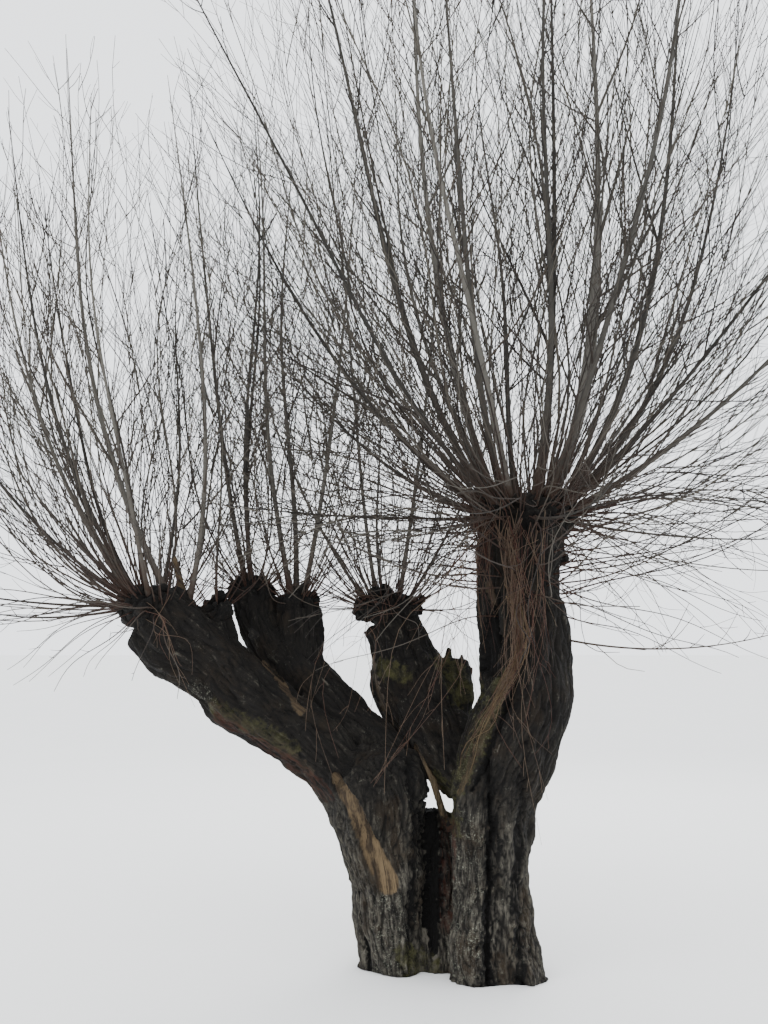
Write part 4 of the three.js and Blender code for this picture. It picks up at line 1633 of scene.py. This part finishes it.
def leaning(heading: np.ndarray, lean: np.ndarray) -> np.ndarray:
    """Directions that lean from the vertical towards a heading, both in degrees."""
    turn, fall = np.radians(heading), np.radians(lean)
    parts = np.sin(fall) * np.cos(turn), np.sin(fall) * np.sin(turn), np.cos(fall)
    return np.stack(np.broadcast_arrays(*parts), axis=-1)


@dataclass
class Rod:
    """A rod that has yet to be grown, and its line once it has, in millimetres."""

    name: str
    row: Row
    heading: float
    lean: float
    length: float
    size: float
    sway: float
    buried: float
    foot: np.ndarray
    wander: float = 0.085
    nod: float = 0.0
    line: np.ndarray = field(default_factory=lambda: np.zeros((0, 3)))

    def grow(self) -> None:
        """Lays the rod's line: it sets out at its lean and sweeps up to its tip's lean."""
        step = np.arange(1, ROD_STEPS + 1)
        left = 1 - (step - 0.5) / ROD_STEPS
        leans = self.row.tip + (self.lean - self.row.tip) * left**self.row.sweep
        leans += self.nod * np.sin(2 * self.sway + NOD_TURN * step / ROD_STEPS)
        side = leaning(np.array(self.heading + 90), np.array(90))
        wander = self.wander * np.cos(self.sway + WANDER_TURN * step / ROD_STEPS)
        steps = unit(leaning(np.array(self.heading), leans) + side * wander[:, None])
        run = np.cumsum(steps, axis=0) * self.length / ROD_STEPS
        self.line = np.vstack([self.foot, self.foot + run])

    def radius(self, share: np.ndarray) -> np.ndarray:
        """The rod's radius at shares of its length."""
        return ROD_TIP + (self.size - ROD_TIP) * np.maximum(1 - share, 0) ** ROD_TAPER

    def slender(self, share: np.ndarray) -> np.ndarray:
        """The radius that is drawn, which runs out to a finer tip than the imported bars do.

        Args:
            share: Shares of the rod's length.

        Returns:
            The radii.
        """
        left = np.maximum(1 - share, 0.0)
        size = DRAWN_SIZE * self.size
        tip = min(ROD_TIP, 0.4 * size)
        return FINE_TIP + (tip - FINE_TIP) * left**0.3 + (size - tip) * left**DRAWN_TAPER

    def bars(self) -> np.ndarray:
        """Bars that cover the rod.

        Returns:
            Start, end and radius, seven numbers to a row.
        """
        knots = self.line[:: ROD_STEPS // ROD_BARS]
        start, end = knots[:-1].copy(), knots[1:]
        start[0] += (end[0] - start[0]) * self.buried * ROD_BARS / self.length
        radius = self.radius(np.arange(ROD_BARS) / ROD_BARS)
        return np.hstack([start, end, radius[:, None]])


def bar_gap(ones: np.ndarray, others: np.ndarray) -> float:
    """The least gap between two sets of bars.

    Args:
        ones: Start, end and radius, seven numbers to a row.
        others: The same.

    Returns:
        The gap in millimetres.
    """
    one, other = ones[:, None], others[None]
    a, b, c, d = one[..., :3], one[..., 3:6], other[..., :3], other[..., 3:6]
    u, v, w = b - a, d - c, a - c
    uu, uv, vv, uw, vw = (np.sum(p * q, axis=-1) for p, q in ((u, u), (u, v), (v, v), (u, w), (v, w)))
    flat = uu * vv - uv * uv
    s = np.where(flat > 1e-9, np.clip((uv * vw - vv * uw) / np.maximum(flat, 1e-9), 0, 1), 0)
    t = np.clip((uv * s + vw) / vv, 0, 1)
    s = np.clip((uv * t - uw) / uu, 0, 1)
    gaps = np.linalg.norm(w + u * s[..., None] - v * t[..., None], axis=-1)
    return float(np.min(gaps - one[..., 6] - other[..., 6]))


def row_rods(head_name: str, row: Row, number: int) -> Iterator[Rod]:
    """The rods of one row, each with its own scatter.

    Args:
        head_name: The head that they stand on.
        row: The row.
        number: Which of the head's rows it is.

    Yields:
        Rods without a line.
    """
    head = HEADS[head_name]
    chance = Chance(ROW_SEED + ROW_SEED_STEP * number + head.seed)
    lone = row.count == 1
    start, end = (row.heading, row.heading) if lone else row.arc
    loose = LONE_SCATTER if lone else 1
    for i in range(row.count):
        heading, lean, length, size, sway = 2 * chance.draws(5) - 1
        yield Rod(
            name=f"{head_name}_{row.name}_rod" + ("" if lone else f"_{i + 1}"),
            row=row,
            heading=start + (end - start) * (i + 0.5) / row.count + loose * HEADING_SCATTER * heading,
            lean=row.lean * (1 + loose * LEAN_SCATTER * lean),
            length=row.length * (1 + loose * LENGTH_SCATTER * length),
            size=row.foot * (1 + loose * LENGTH_SCATTER * size),
            sway=(sway + 1) * math.pi,
            buried=head.knuckle,
            foot=np.zeros(3),
        )


def foot_on(head: Head, row: Row, heading: float) -> np.ndarray:
    """Where a rod of a row starts in its head.

    Args:
        head: The head.
        row: The row.
        heading: The rod's heading.

    Returns:
        The place in millimetres.
    """
    leant = min(1, row.lean / FULL_LEAN)
    out = OUT_LEAST + OUT_MORE * leant if row.out is None else row.out
    h = math.radians(heading)
    across, along = head.spread[0] * out * math.cos(h), head.spread[1] * out * math.sin(h)
    return np.array(head.centre) + (across, along, -head.tilt * math.cos(h) * out)


def packed_rods() -> dict[str, list[Rod]]:
    """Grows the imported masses' rods, each turned until no other is in its way.

    Returns:
        The rods by head.
    """
    grown: dict[str, list[Rod]] = {name: [] for name in ROWS}
    bars = np.zeros((0, 7))
    for head_name, rows in ROWS.items():
        for number, row in enumerate(rows):
            for rod in row_rods(head_name, row, number):
                wanted = rod.heading
                for turn in range(TURNS):
                    swing = TURN_STEP * math.ceil(turn / 2) * (1 if turn % 2 else -1)
                    rod.heading = wanted + swing
                    rod.foot = foot_on(HEADS[head_name], row, rod.heading)
                    rod.grow()
                    if len(bars) == 0 or bar_gap(rod.bars(), bars) >= ROD_ROOM:
                        bars = np.vstack([bars, rod.bars()])
                        grown[head_name].append(rod)
                        break
    return grown


def filler_rods(head_name: str) -> list[Rod]:
    """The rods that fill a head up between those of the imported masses, within their reach.

    Args:
        head_name: The head.

    Returns:
        Rods with their lines.
    """
    low, high = (np.array(corner) / MM for corner in CAD_BOX)
    made = []
    for number, row in enumerate(FILLERS[head_name]):
        for order, rod in enumerate(row_rods(head_name, row, FILLER_ROWS_FROM + number)):
            lower = row.drop * (GOLDEN * order % 1)
            rod.foot = foot_on(HEADS[head_name], row, rod.heading) - lower * UP
            rod.wander, rod.nod = FILLER_WANDER, FILLER_NOD
            rod.grow()
            while np.any(rod.line < low + FILLER_ROOM) or np.any(rod.line > high - FILLER_ROOM):
                rod.length *= CUT_BACK
                rod.grow()
            made.append(rod)
    return made


@dataclass(frozen=True)
class TwigRule:
    """How twigs stand on what bears them, wound round it by the golden turn.

    They stand from first to last, in shares of the bearer, spacing metres apart, lean off it by
    angle, in degrees, give or take scatter, and turn up by rise beyond bend. Length and foot are
    shares of the bearer's length and radius, and taper how soon they shorten along it. Least is
    their foot's least radius and tip their end's, in metres.
    """

    spacing: float
    first: float = 0.2
    last: float = 0.97
    angle: float = 40.0
    scatter: float = 0.4
    rise: float = 0.55
    length: float = 0.27
    taper: float = 0.6
    bend: float = 0.45
    foot: float = 0.42
    least: float = 0.0024
    tip: float = 0.0012
    knots: int = 6
    seed: int = 4000


WOOD_TOP = 2.45
BARK_CLEAR = 1.06
CORK_CLEAR = 1.1
GOLDEN_ANGLE = 137.5
BEND_SPAN = 0.25
TWIG_VIEW = (0.3, 0.9, 0.2)
TWIG_LEAST = 0.45
TWIG_MORE = 1.1
TWIG_SKEW = 1.3


@dataclass
class Shoots:
    """Many shoots of one kind: their lines, radii, lengths, tones and warmth at each knot."""

    lines: np.ndarray
    radii: np.ndarray
    length: np.ndarray
    tone: np.ndarray
    warmth: np.ndarray

    def only(self, keep: np.ndarray) -> "Shoots":
        """Those shoots that are to be kept."""
        return Shoots(*(getattr(self, part.name)[keep] for part in fields(self)))

    def within(self, room: float) -> "Shoots":
        """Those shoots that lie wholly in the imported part's box, with room to spare."""
        low, high = (np.array(corner) for corner in CAD_BOX)
        inside = (self.lines > low + room) & (self.lines < high - room)
        return self.only(np.all(inside, axis=(1, 2)))

    def clear_of_wood(self) -> "Shoots":
        """Those shoots that don't run into old wood beyond their first third.

        Returns:
            The shoots.
        """
        ends = self.lines[:, self.lines.shape[1] // 3:]
        flat = ends.reshape(-1, 3)
        low = np.flatnonzero(flat[:, 2] < WOOD_TOP)
        inside = np.zeros(len(flat), dtype=bool)
        for limb in LIMBS:
            inside[low] |= limb.straightened(flat[low])[1] < BARK_CLEAR
        for head in HEADS.values():
            inside[low] |= head.gap(flat[low]) < CORK_CLEAR
        return self.only(~inside.reshape(ends.shape[:2]).any(axis=1))

    def sprout(self, rule: TwigRule, salt: int) -> "Shoots":
        """The twigs that stand on these shoots.

        Args:
            rule: How they stand.
            salt: Added to the rule's seed.

        Returns:
            The twigs.
        """
        counts = np.round(self.length * (rule.last - rule.first) / rule.spacing).astype(int)
        bearer = np.repeat(np.arange(len(counts)), counts)
        order = np.concatenate([np.arange(count) for count in (0, *counts)])
        draws = [Chance(rule.seed + salt + 53 * i).draws(n, 5) for i, n in enumerate(counts)]
        draws = np.vstack([np.zeros((0, 5)), *draws])
        share = rule.first + (rule.last - rule.first) * (order + draws[:, 0]) / counts[bearer]
        turn = np.radians(GOLDEN_ANGLE * (order + 3 * draws[:, 1]))
        reach = rule.length * self.length[bearer] * (1 - share) ** rule.taper
        reach *= TWIG_LEAST + TWIG_MORE * draws[:, 2] ** TWIG_SKEW
        place = share * (self.lines.shape[1] - 1)
        at = np.minimum(place.astype(int), self.lines.shape[1] - 2)
        start, end = self.lines[bearer, at], self.lines[bearer, at + 1]
        foot = start + (end - start) * (place - at)[:, None]
        heading = unit(end - start)
        view = unit(np.array(TWIG_VIEW))
        along = unit(view - heading * (heading @ view)[:, None])
        across = unit(np.cross(along, heading))
        out = across * np.cos(turn)[:, None] + along * np.sin(turn)[:, None]
        lean = np.radians(rule.angle * (1 + rule.scatter * (2 * draws[:, 3:4] - 1)))
        first = heading * np.cos(lean) + out * np.sin(lean)
        knot = np.linspace(0, 1, rule.knots)
        middle = (knot[1:] + knot[:-1]) / 2
        lift = rule.rise * smooth_step(rule.bend - BEND_SPAN, rule.bend + BEND_SPAN, middle)
        side = unit(np.cross(first, UP))
        sway = (0.08 + 0.2 * draws[:, 4:5]) * np.sin(3 * middle[None] + turn[:, None] * 3)
        steps = unit(first[:, None] + UP * lift[None, :, None] + side[:, None] * sway[..., None])
        run = np.cumsum(steps * (reach / (rule.knots - 1))[:, None, None], axis=1)
        lines = np.concatenate([foot[:, None], foot[:, None] + run], axis=1)
        size = np.maximum(rule.least, rule.foot * self.radii[bearer, at])
        radii = size[:, None] + (rule.tip - size)[:, None] * knot[None]
        tone = np.clip(self.tone[bearer] + 0.4 * (draws[:, 2] - 0.5), 0, 1)
        warmth = self.warmth[bearer, at][:, None] * (1 - 0.6 * knot[None])
        return Shoots(lines, radii, reach, tone, warmth)


def joined(some: list[Shoots]) -> Shoots:
    """Several lots of shoots with as many knots, as one lot."""
    parts = [[getattr(one, part.name) for one in some] for part in fields(Shoots)]
    return Shoots(*(np.concatenate(part) for part in parts))


class Sweeper:
    """Sweeps many shoots into tubes with one Geometry Nodes tree."""

    def __init__(self) -> None:
        """Builds the tree: lines become curves, and a ring is swept along them at their size."""
        tree = bpy.data.node_groups.new("swept_shoots", "GeometryNodeTree")
        face = tree.interface
        face.new_socket("Lines", in_out="INPUT", socket_type="NodeSocketGeometry")
        sides = face.new_socket("Sides", in_out="INPUT", socket_type="NodeSocketInt")
        coat = face.new_socket("Coat", in_out="INPUT", socket_type="NodeSocketMaterial")
        face.new_socket("Tubes", in_out="OUTPUT", socket_type="NodeSocketGeometry")
        self.sides_key, self.coat_key = sides.identifier, coat.identifier
        start = tree.nodes.new("NodeGroupInput")
        end = tree.nodes.new("NodeGroupOutput")
        size = tree.nodes.new("GeometryNodeInputNamedAttribute")
        size.inputs["Name"].default_value = "thickness"
        ring = tree.nodes.new("GeometryNodeCurvePrimitiveCircle")
        ring.inputs["Radius"].default_value = 1
        chain = [
            tree.nodes.new(kind)
            for kind in (
                "GeometryNodeMeshToCurve", "GeometryNodeCurveToMesh", "GeometryNodeSetShadeSmooth",
                "GeometryNodeRealizeInstances", "GeometryNodeSetMaterial",
            )
        ]
        chain[1].inputs["Fill Caps"].default_value = True
        links = tree.links
        links.new(start.outputs["Lines"], chain[0].inputs[0])
        for one, other in zip(chain, chain[1:]):
            links.new(one.outputs[0], other.inputs[0])
        links.new(start.outputs["Sides"], ring.inputs["Resolution"])
        links.new(ring.outputs["Curve"], chain[1].inputs["Profile Curve"])
        links.new(size.outputs["Attribute"], chain[1].inputs["Scale"])
        links.new(start.outputs["Coat"], chain[4].inputs["Material"])
        links.new(chain[4].outputs[0], end.inputs[0])
        self.tree = tree

    def sweep(
        self, name: str, shoots: Shoots, sides: int, coat: bpy.types.Material
    ) -> Pieces:
        """Sweeps shoots into as many pieces as the limit on triangles asks for.

        Args:
            name: The pieces' name, to which their number is added where there are several.
            shoots: The shoots.
            sides: How many sides a tube has.
            coat: The material.

        Returns:
            The pieces.
        """
        knots = shoots.lines.shape[1]
        each = 2 * sides * (knots - 1) + 2 * (sides - 2)
        parts = math.ceil(len(shoots.length) * each / MOST_TRIANGLES)
        numbers = np.arange(len(shoots.length))
        made = []
        for part in range(parts):
            label = name if parts == 1 else f"{name}_{part + 1}"
            piece = self.tubes(label, shoots.only(numbers % parts == part), sides, coat)
            LOG.info("%s: %d shoots", label, len(numbers) // parts)
            made.append(piece)
        return made

    def tubes(
        self, name: str, shoots: Shoots, sides: int, coat: bpy.types.Material
    ) -> bpy.types.Object:
        """One piece of swept tubes.

        Args:
            name: The piece's name.
            shoots: The shoots.
            sides: How many sides a tube has.
            coat: The material.

        Returns:
            The piece, riding on the tree.
        """
        count, knots = shoots.radii.shape
        index = np.arange(count * knots).reshape(count, knots)
        edges = np.stack([index[:, :-1], index[:, 1:]], axis=-1).reshape(-1, 2)
        mesh = bpy.data.meshes.new(name)
        mesh.vertices.add(count * knots)
        mesh.vertices.foreach_set("co", shoots.lines.astype(np.float32).ravel())
        mesh.edges.add(len(edges))
        mesh.edges.foreach_set("vertices", edges.astype(np.int32).ravel())
        values = {
            "thickness": shoots.radii,
            "tone": np.broadcast_to(shoots.tone[:, None], (count, knots)),
            "warmth": shoots.warmth,
        }
        for look, numbers in values.items():
            mark_points(mesh, look, numbers.ravel())
        carrier = linked(name, mesh)
        sweep = carrier.modifiers.new("sweep", "NODES")
        sweep.node_group = self.tree
        sweep[self.sides_key] = sides
        sweep[self.coat_key] = coat
        swept = applied(carrier)
        swept.name = name
        return linked(name, swept)


@dataclass
class Crown:
    """The rods of every head with their twigs, carried to the finest.

    A rod longer than bears_rods has forks and side rods, and a twig longer than bears_twigs has
    fine twigs. A rod's flare and its warm colour fade over their lengths. All are in metres.
    """

    sweeper: Sweeper
    packed_twigs: TwigRule = TwigRule(spacing=0.34, least=0.0026, tip=0.0016)
    forks: TwigRule = TwigRule(
        spacing=0.8, last=0.75, angle=22, scatter=0.5, rise=0.12, length=0.5, taper=0.9,
        foot=0.62, least=0.003, tip=0.0017, knots=10, seed=5000,
    )
    side_rods: TwigRule = TwigRule(
        spacing=0.42, first=0.16, last=0.95, angle=32, scatter=0.5, rise=0.35, length=0.32, taper=0.42,
        bend=0.3, foot=0.38, least=0.0021, tip=0.0012, knots=10, seed=7000,
    )
    twigs: TwigRule = TwigRule(
        spacing=0.5, angle=36, scatter=0.5, rise=0.3, length=0.19, taper=0.5, bend=0.3,
        foot=0.4, least=0.0015, tip=0.001, knots=8, seed=9000,
    )
    side_twigs: TwigRule = TwigRule(
        spacing=0.3, first=0.14, angle=32, scatter=0.5, rise=0.32, length=0.6, bend=0.3, foot=0.6,
        least=0.0014, tip=0.0009, knots=8, seed=15000,
    )
    fine: TwigRule = TwigRule(
        spacing=0.3, last=0.85, angle=30, scatter=0.5, rise=0.25, length=0.8, foot=0.75,
        least=0.0012, tip=0.0009, seed=21000,
    )
    bears_rods: float = 1.4
    bears_twigs: float = 0.3
    flare_length: float = 0.05
    warm_length: float = 0.3
    old_rod: YoungBark = YoungBark("old_rod_bark", "#24221f", "#605d57", "#33241b")
    young_rod: YoungBark = YoungBark("young_rod_bark", "#24211e", "#4c4841", "#36231b")
    twig: YoungBark = YoungBark("twig_bark", "#231f1c", "#463f38", "#3a261d")

    def build(self) -> Pieces:
        """Builds and dresses the crown, head by head.

        Returns:
            The pieces.
        """
        packed = packed_rods()
        old, young, twig = (bark.material() for bark in (self.old_rod, self.young_rod, self.twig))
        made = []
        for head_name, rods in packed.items():
            seed = HEADS[head_name].seed
            main = self.shoots(rods, seed, 0.5, 1)
            extra = self.shoots(filler_rods(head_name), seed + 7, 0.1, FILLER_STRIDE)
            extra = extra.within(0).clear_of_wood()
            bearing = [one.only(one.length > self.bears_rods) for one in (main, extra)]
            rules = (self.side_rods, self.forks)
            side = joined([one.sprout(r, seed + k) for r in rules for k, one in enumerate(bearing)])
            side = side.within(ROOM).clear_of_wood()
            lots = [one.sprout(self.twigs, seed + k) for k, one in enumerate((main, extra))]
            twigs = joined([*lots, side.sprout(self.side_twigs, seed)])
            twigs = twigs.within(ROOM).clear_of_wood()
            packed_twigs = main.sprout(self.packed_twigs, 0).within(ROOM).clear_of_wood()
            fine = twigs.only(twigs.length > self.bears_twigs).sprout(self.fine, seed).within(ROOM)
            boughs = self.sweeper.sweep(f"{head_name}_boughs", main, 8, old)
            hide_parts(*(rod.name for rod in rods))
            made += boughs
            for part, lot, sides, coat in (
                ("rods", extra, 5, young), ("side_rods", side, 4, young),
                ("side_twigs", packed_twigs, 3, twig), ("twigs", twigs, 3, twig),
                ("fine_twigs", fine, 3, twig),
            ):
                made += self.sweeper.sweep(f"{head_name}_{part}", lot, sides, coat)
        return dressed(made, Slot.RODS)

    def shoots(self, rods: list[Rod], seed: int, flare: float, stride: int) -> Shoots:
        """Rods as shoots, swollen where they leave the head.

        Args:
            rods: The rods, each with its line.
            seed: The seed of their tones.
            flare: How much wider they are there.
            stride: How many of the rods' steps make one of the shoots'.

        Returns:
            The shoots, in metres.
        """
        share = np.linspace(0, 1, ROD_STEPS // stride + 1)
        chance = Chance(seed + 300)
        lines = np.array([rod.line[::stride] for rod in rods]) * MM
        radii = np.array([rod.slender(share) for rod in rods]) * MM
        length = np.array([rod.length for rod in rods]) * MM
        buried = np.array([rod.buried for rod in rods]) * MM
        out = np.maximum(length[:, None] * share[None] - buried[:, None], 0)
        radii *= 1 + flare * np.exp(-out / self.flare_length)
        return Shoots(lines, radii, length, chance.draws(len(rods)), np.exp(-out / self.warm_length))


FALL_SEED = 700


@dataclass(frozen=True)
class Fall:
    """A lot of thin shoots that hang through the same places, each with its own scatter.

    Size is the radius of a shoot where it starts, and pale the least of its tone.
    """

    count: int
    size: float
    pale: float
    seed: int
    path: tuple[Triple, ...]
    scatter: tuple[float, ...]


@dataclass
class Brush:
    """The shoots that hang from the heads and down the front of the right stem, the strand that
    winds down it, and the whip low on its side.

    Side shoots have as many knots as their bearers. A shoot ends at the share reach, which is its
    least and what chance adds, thins by thinning, and is scattered only forwards.
    """

    sweeper: Sweeper
    knots: int = 16
    reach: Couple = (0.55, 0.45)
    thinning: float = 0.6
    forward: float = 0.8
    finish: YoungBark = YoungBark("hanging_shoots", "#261e1a", "#5f5142", "#42261f", "#7a6b55")
    pale: YoungBark = YoungBark("pale_shoots", "#2a2218", "#6f6046", "#4a3826", "#837659")
    falls: tuple[Fall, ...] = (
        Fall(
            18, 0.0023, 0.4, 1,
            (
                (0.27, -0.22, 2.22), (0.29, -0.30, 2.02), (0.30, -0.312, 1.78), (0.32, -0.322, 1.58),
                (0.285, -0.325, 1.42), (0.21, -0.30, 1.31),
            ),
            (0.10, 0.05, 0.035, 0.03, 0.03, 0.05),
        ),
        Fall(
            16, 0.0021, 0.3, 2,
            (
                (0.30, -0.24, 2.16), (0.30, -0.31, 1.95), (0.335, -0.325, 1.56), (0.25, -0.315, 1.38),
                (0.14, -0.27, 1.20), (0.06, -0.21, 0.98),
            ),
            (0.08, 0.05, 0.035, 0.035, 0.04, 0.05),
        ),
        Fall(
            15, 0.0019, 0.0, 3,
            ((0.17, -0.18, 2.20), (0.165, -0.25, 2.02), (0.17, -0.25, 1.80), (0.185, -0.26, 1.50)),
            (0.08, 0.055, 0.045, 0.045),
        ),
        Fall(
            15, 0.0018, 0.2, 4,
            ((0.38, -0.26, 2.15), (0.37, -0.33, 1.92), (0.375, -0.35, 1.65), (0.40, -0.34, 1.25)),
            (0.10, 0.09, 0.09, 0.13),
        ),
        Fall(
            14, 0.0018, 0.6, 5,
            ((0.36, -0.27, 2.12), (0.34, -0.37, 1.75), (0.32, -0.40, 1.35), (0.40, -0.40, 0.80)),
            (0.10, 0.10, 0.14, 0.22),
        ),
        Fall(
            12, 0.0018, 0.8, 6,
            ((0.12, -0.2, 2.16), (0.02, -0.40, 1.82), (-0.12, -0.44, 1.45), (-0.26, -0.44, 1.0)),
            (0.10, 0.12, 0.18, 0.22),
        ),
        Fall(
            9, 0.0017, 0.8, 7,
            ((-0.28, 0.22, 1.80), (-0.42, -0.10, 1.74), (-0.52, -0.32, 1.40), (-0.56, -0.36, 1.05)),
            (0.08, 0.10, 0.16, 0.20),
        ),
        Fall(
            5, 0.0017, 0.7, 8,
            ((-1.46, -0.14, 1.78), (-1.40, -0.30, 1.66), (-1.30, -0.36, 1.50), (-1.22, -0.38, 1.36)),
            (0.14, 0.06, 0.10, 0.12),
        ),
    )
    strand: Fall = Fall(
        15, 0.0024, 0.3, 9,
        (
            (0.31, -0.30, 1.84), (0.325, -0.315, 1.70), (0.335, -0.32, 1.56), (0.262, -0.32, 1.40),
            (0.158, -0.28, 1.22), (0.085, -0.215, 1.05), (0.052, -0.165, 0.88),
        ),
        (0.05, 0.034, 0.036, 0.04, 0.044, 0.044, 0.036),
    )
    side_rule: TwigRule = TwigRule(
        spacing=0.24, first=0.3, angle=30, scatter=0.6, rise=-0.4, length=0.22, least=0.001,
        tip=0.0007, knots=16, seed=31000,
    )
    whip_rule: TwigRule = TwigRule(spacing=0.11, first=0.15, angle=34, scatter=0.6, length=0.3)
    whip_row: Row = Row("side", 106, 72, 1, 1300, 8, heading=-6)
    whip_foot: Triple = (450.0, -50.0, 1640.0)
    whip_tone: float = 0.4

    def build(self) -> Pieces:
        """Builds and dresses the hanging shoots and the whip.

        Returns:
            The pieces.
        """
        coat, pale = self.finish.material(), self.pale.material()
        hanging = joined([self.hang(fall) for fall in self.falls])
        side = hanging.sprout(self.side_rule, 0)
        strand = self.hang(self.strand)
        pieces = self.sweeper.sweep("hanging_brush", joined([hanging, side]), 3, coat)
        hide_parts("brush_left", "brush_right")
        pieces += self.sweeper.sweep("winding_strand", strand, 3, pale)
        whip = self.whip()
        twigs = whip.sprout(self.whip_rule, 0)
        whip_pieces = self.sweeper.sweep("side_whip_rod", whip, 6, coat)
        whip_pieces += self.sweeper.sweep("side_whip_twigs", twigs, 4, coat)
        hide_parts("side_whip")
        return dressed(pieces, Slot.BRUSH) + dressed(whip_pieces, Slot.RODS)

    def hang(self, fall: Fall) -> Shoots:
        """The shoots of one fall.

        Args:
            fall: The fall.

        Returns:
            The shoots.
        """
        chance = Chance(fall.seed + FALL_SEED)
        share = np.linspace(0, 1, self.knots)
        lines = []
        for _ in range(fall.count):
            path = np.array(fall.path)
            off = (2 * chance.draws(*path.shape) - 1) * np.array(fall.scatter)[:, None]
            off[:, 1] = -abs(off[:, 1]) * self.forward
            end = self.reach[0] + self.reach[1] * chance.next()
            lines.append(Spline(path + off).at(share * end))
        lines = np.array(lines)
        length = np.linalg.norm(np.diff(lines, axis=1), axis=2).sum(axis=1)
        wide = 0.7 + 0.6 * chance.draws(fall.count)
        radii = fall.size * (1 - self.thinning * share[None]) * wide[:, None]
        warmth = np.broadcast_to(chance.draws(fall.count)[:, None], radii.shape)
        tone = fall.pale + (1 - fall.pale) * chance.draws(fall.count)
        return Shoots(lines, radii, length, tone, warmth)

    def whip(self) -> Shoots:
        """The thin rod low on the right stem's outer side, as the source grows it.

        Returns:
            A lot of one shoot.
        """
        row, foot = self.whip_row, np.array(self.whip_foot)
        rod = Rod("side_whip", row, row.heading, row.lean, row.length, row.foot, -6, 0, foot)
        rod.grow()
        share = np.linspace(0, 1, ROD_STEPS + 1)
        radii = rod.slender(share)[None] * MM
        length, tone = np.array([row.length * MM]), np.array([self.whip_tone])
        return Shoots(rod.line[None] * MM, radii, length, tone, 0 * radii)


@dataclass(frozen=True)
class Lamp:
    """A soft square lamp: where it stands and points, its side in metres and its power in watts."""

    name: str
    place: Triple
    target: Triple
    size: float
    power: float


@dataclass
class Studio:
    """The pale floor, the soft lights and the camera."""

    camera_place: Triple = (-0.325, -5.163, 1.55)
    camera_pitch: float = 97.888
    lens: float = 35.02
    sensor: float = 36.0
    floor_size: float = 600.0
    floor_level: float = -0.002
    floor: PaleGround = field(default_factory=PaleGround)
    lamps: tuple[Lamp, ...] = (
        Lamp("key", (-5.0, -3.0, 6.0), (0.0, 0.0, 1.6), 3.0, 120),
        Lamp("back", (2.0, 6.0, 7.0), (0.0, 0.0, 2.5), 5.0, 300),
    )
    sky: str = "#eef1f5"
    sky_power: float = 2.7

    def build(self) -> None:
        """Builds the stage."""
        self.add_floor()
        self.add_sky()
        for lamp in self.lamps:
            self.add_lamp(lamp)
        self.add_camera()

    def add_floor(self) -> None:
        """Adds the floor."""
        half = self.floor_size / 2
        mesh = bpy.data.meshes.new("floor")
        corners = [(-half, -half), (half, -half), (half, half), (-half, half)]
        mesh.from_pydata([(x, y, self.floor_level) for x, y in corners], [], [(0, 1, 2, 3)])
        mesh.materials.append(self.floor.material())
        linked("floor", mesh)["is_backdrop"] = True

    def add_sky(self) -> None:
        """Sets the plain pale surroundings."""
        world = bpy.data.worlds.new("studio")
        world.use_nodes = True
        sky = world.node_tree.nodes["Background"]
        sky.inputs["Color"].default_value = colour(self.sky)
        sky.inputs["Strength"].default_value = self.sky_power
        bpy.context.scene.world = world

    def add_lamp(self, lamp: Lamp) -> None:
        """Adds a lamp.

        Args:
            lamp: The lamp.
        """
        data = bpy.data.lights.new(lamp.name, "AREA")
        data.size = lamp.size
        data.energy = lamp.power
        made = linked(lamp.name, data)
        made.location = lamp.place
        away = Vector(lamp.place) - Vector(lamp.target)
        made.rotation_mode = "QUATERNION"
        made.rotation_quaternion = away.to_track_quat("Z", "Y")

    def add_camera(self) -> None:
        """Adds the camera at the photograph's viewing angle."""
        data = bpy.data.cameras.new("camera")
        data.sensor_fit = "VERTICAL"
        data.sensor_height = self.sensor
        data.lens = self.lens
        made = linked("camera", data)
        made.location = self.camera_place
        made.rotation_euler = (math.radians(self.camera_pitch), 0, 0)
        bpy.context.scene.camera = made


def triangles(pieces: Pieces) -> int:
    """How many triangles the pieces have in all."""
    return sum(len(piece.data.loops) - 2 * len(piece.data.polygons) for piece in pieces)


def main() -> None:
    """Builds the stage and the tree."""
    logging.basicConfig(level=logging.INFO, format="%(name)s: %(message)s")
    Studio().build()
    sweeper = Sweeper()
    for part in (OldWood(), Crown(sweeper), Brush(sweeper)):
        pieces = part.build()
        name = type(part).__name__
        LOG.info("%s: %d pieces, %d triangles", name, len(pieces), triangles(pieces))
    sizes = {"cad": CAD_BOX, "visual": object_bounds()}
    plain = {name: [list(corner) for corner in box] for name, box in sizes.items()}
    LOG.info("sizes: %s", plain)


if __name__ == "__main__":
    main()
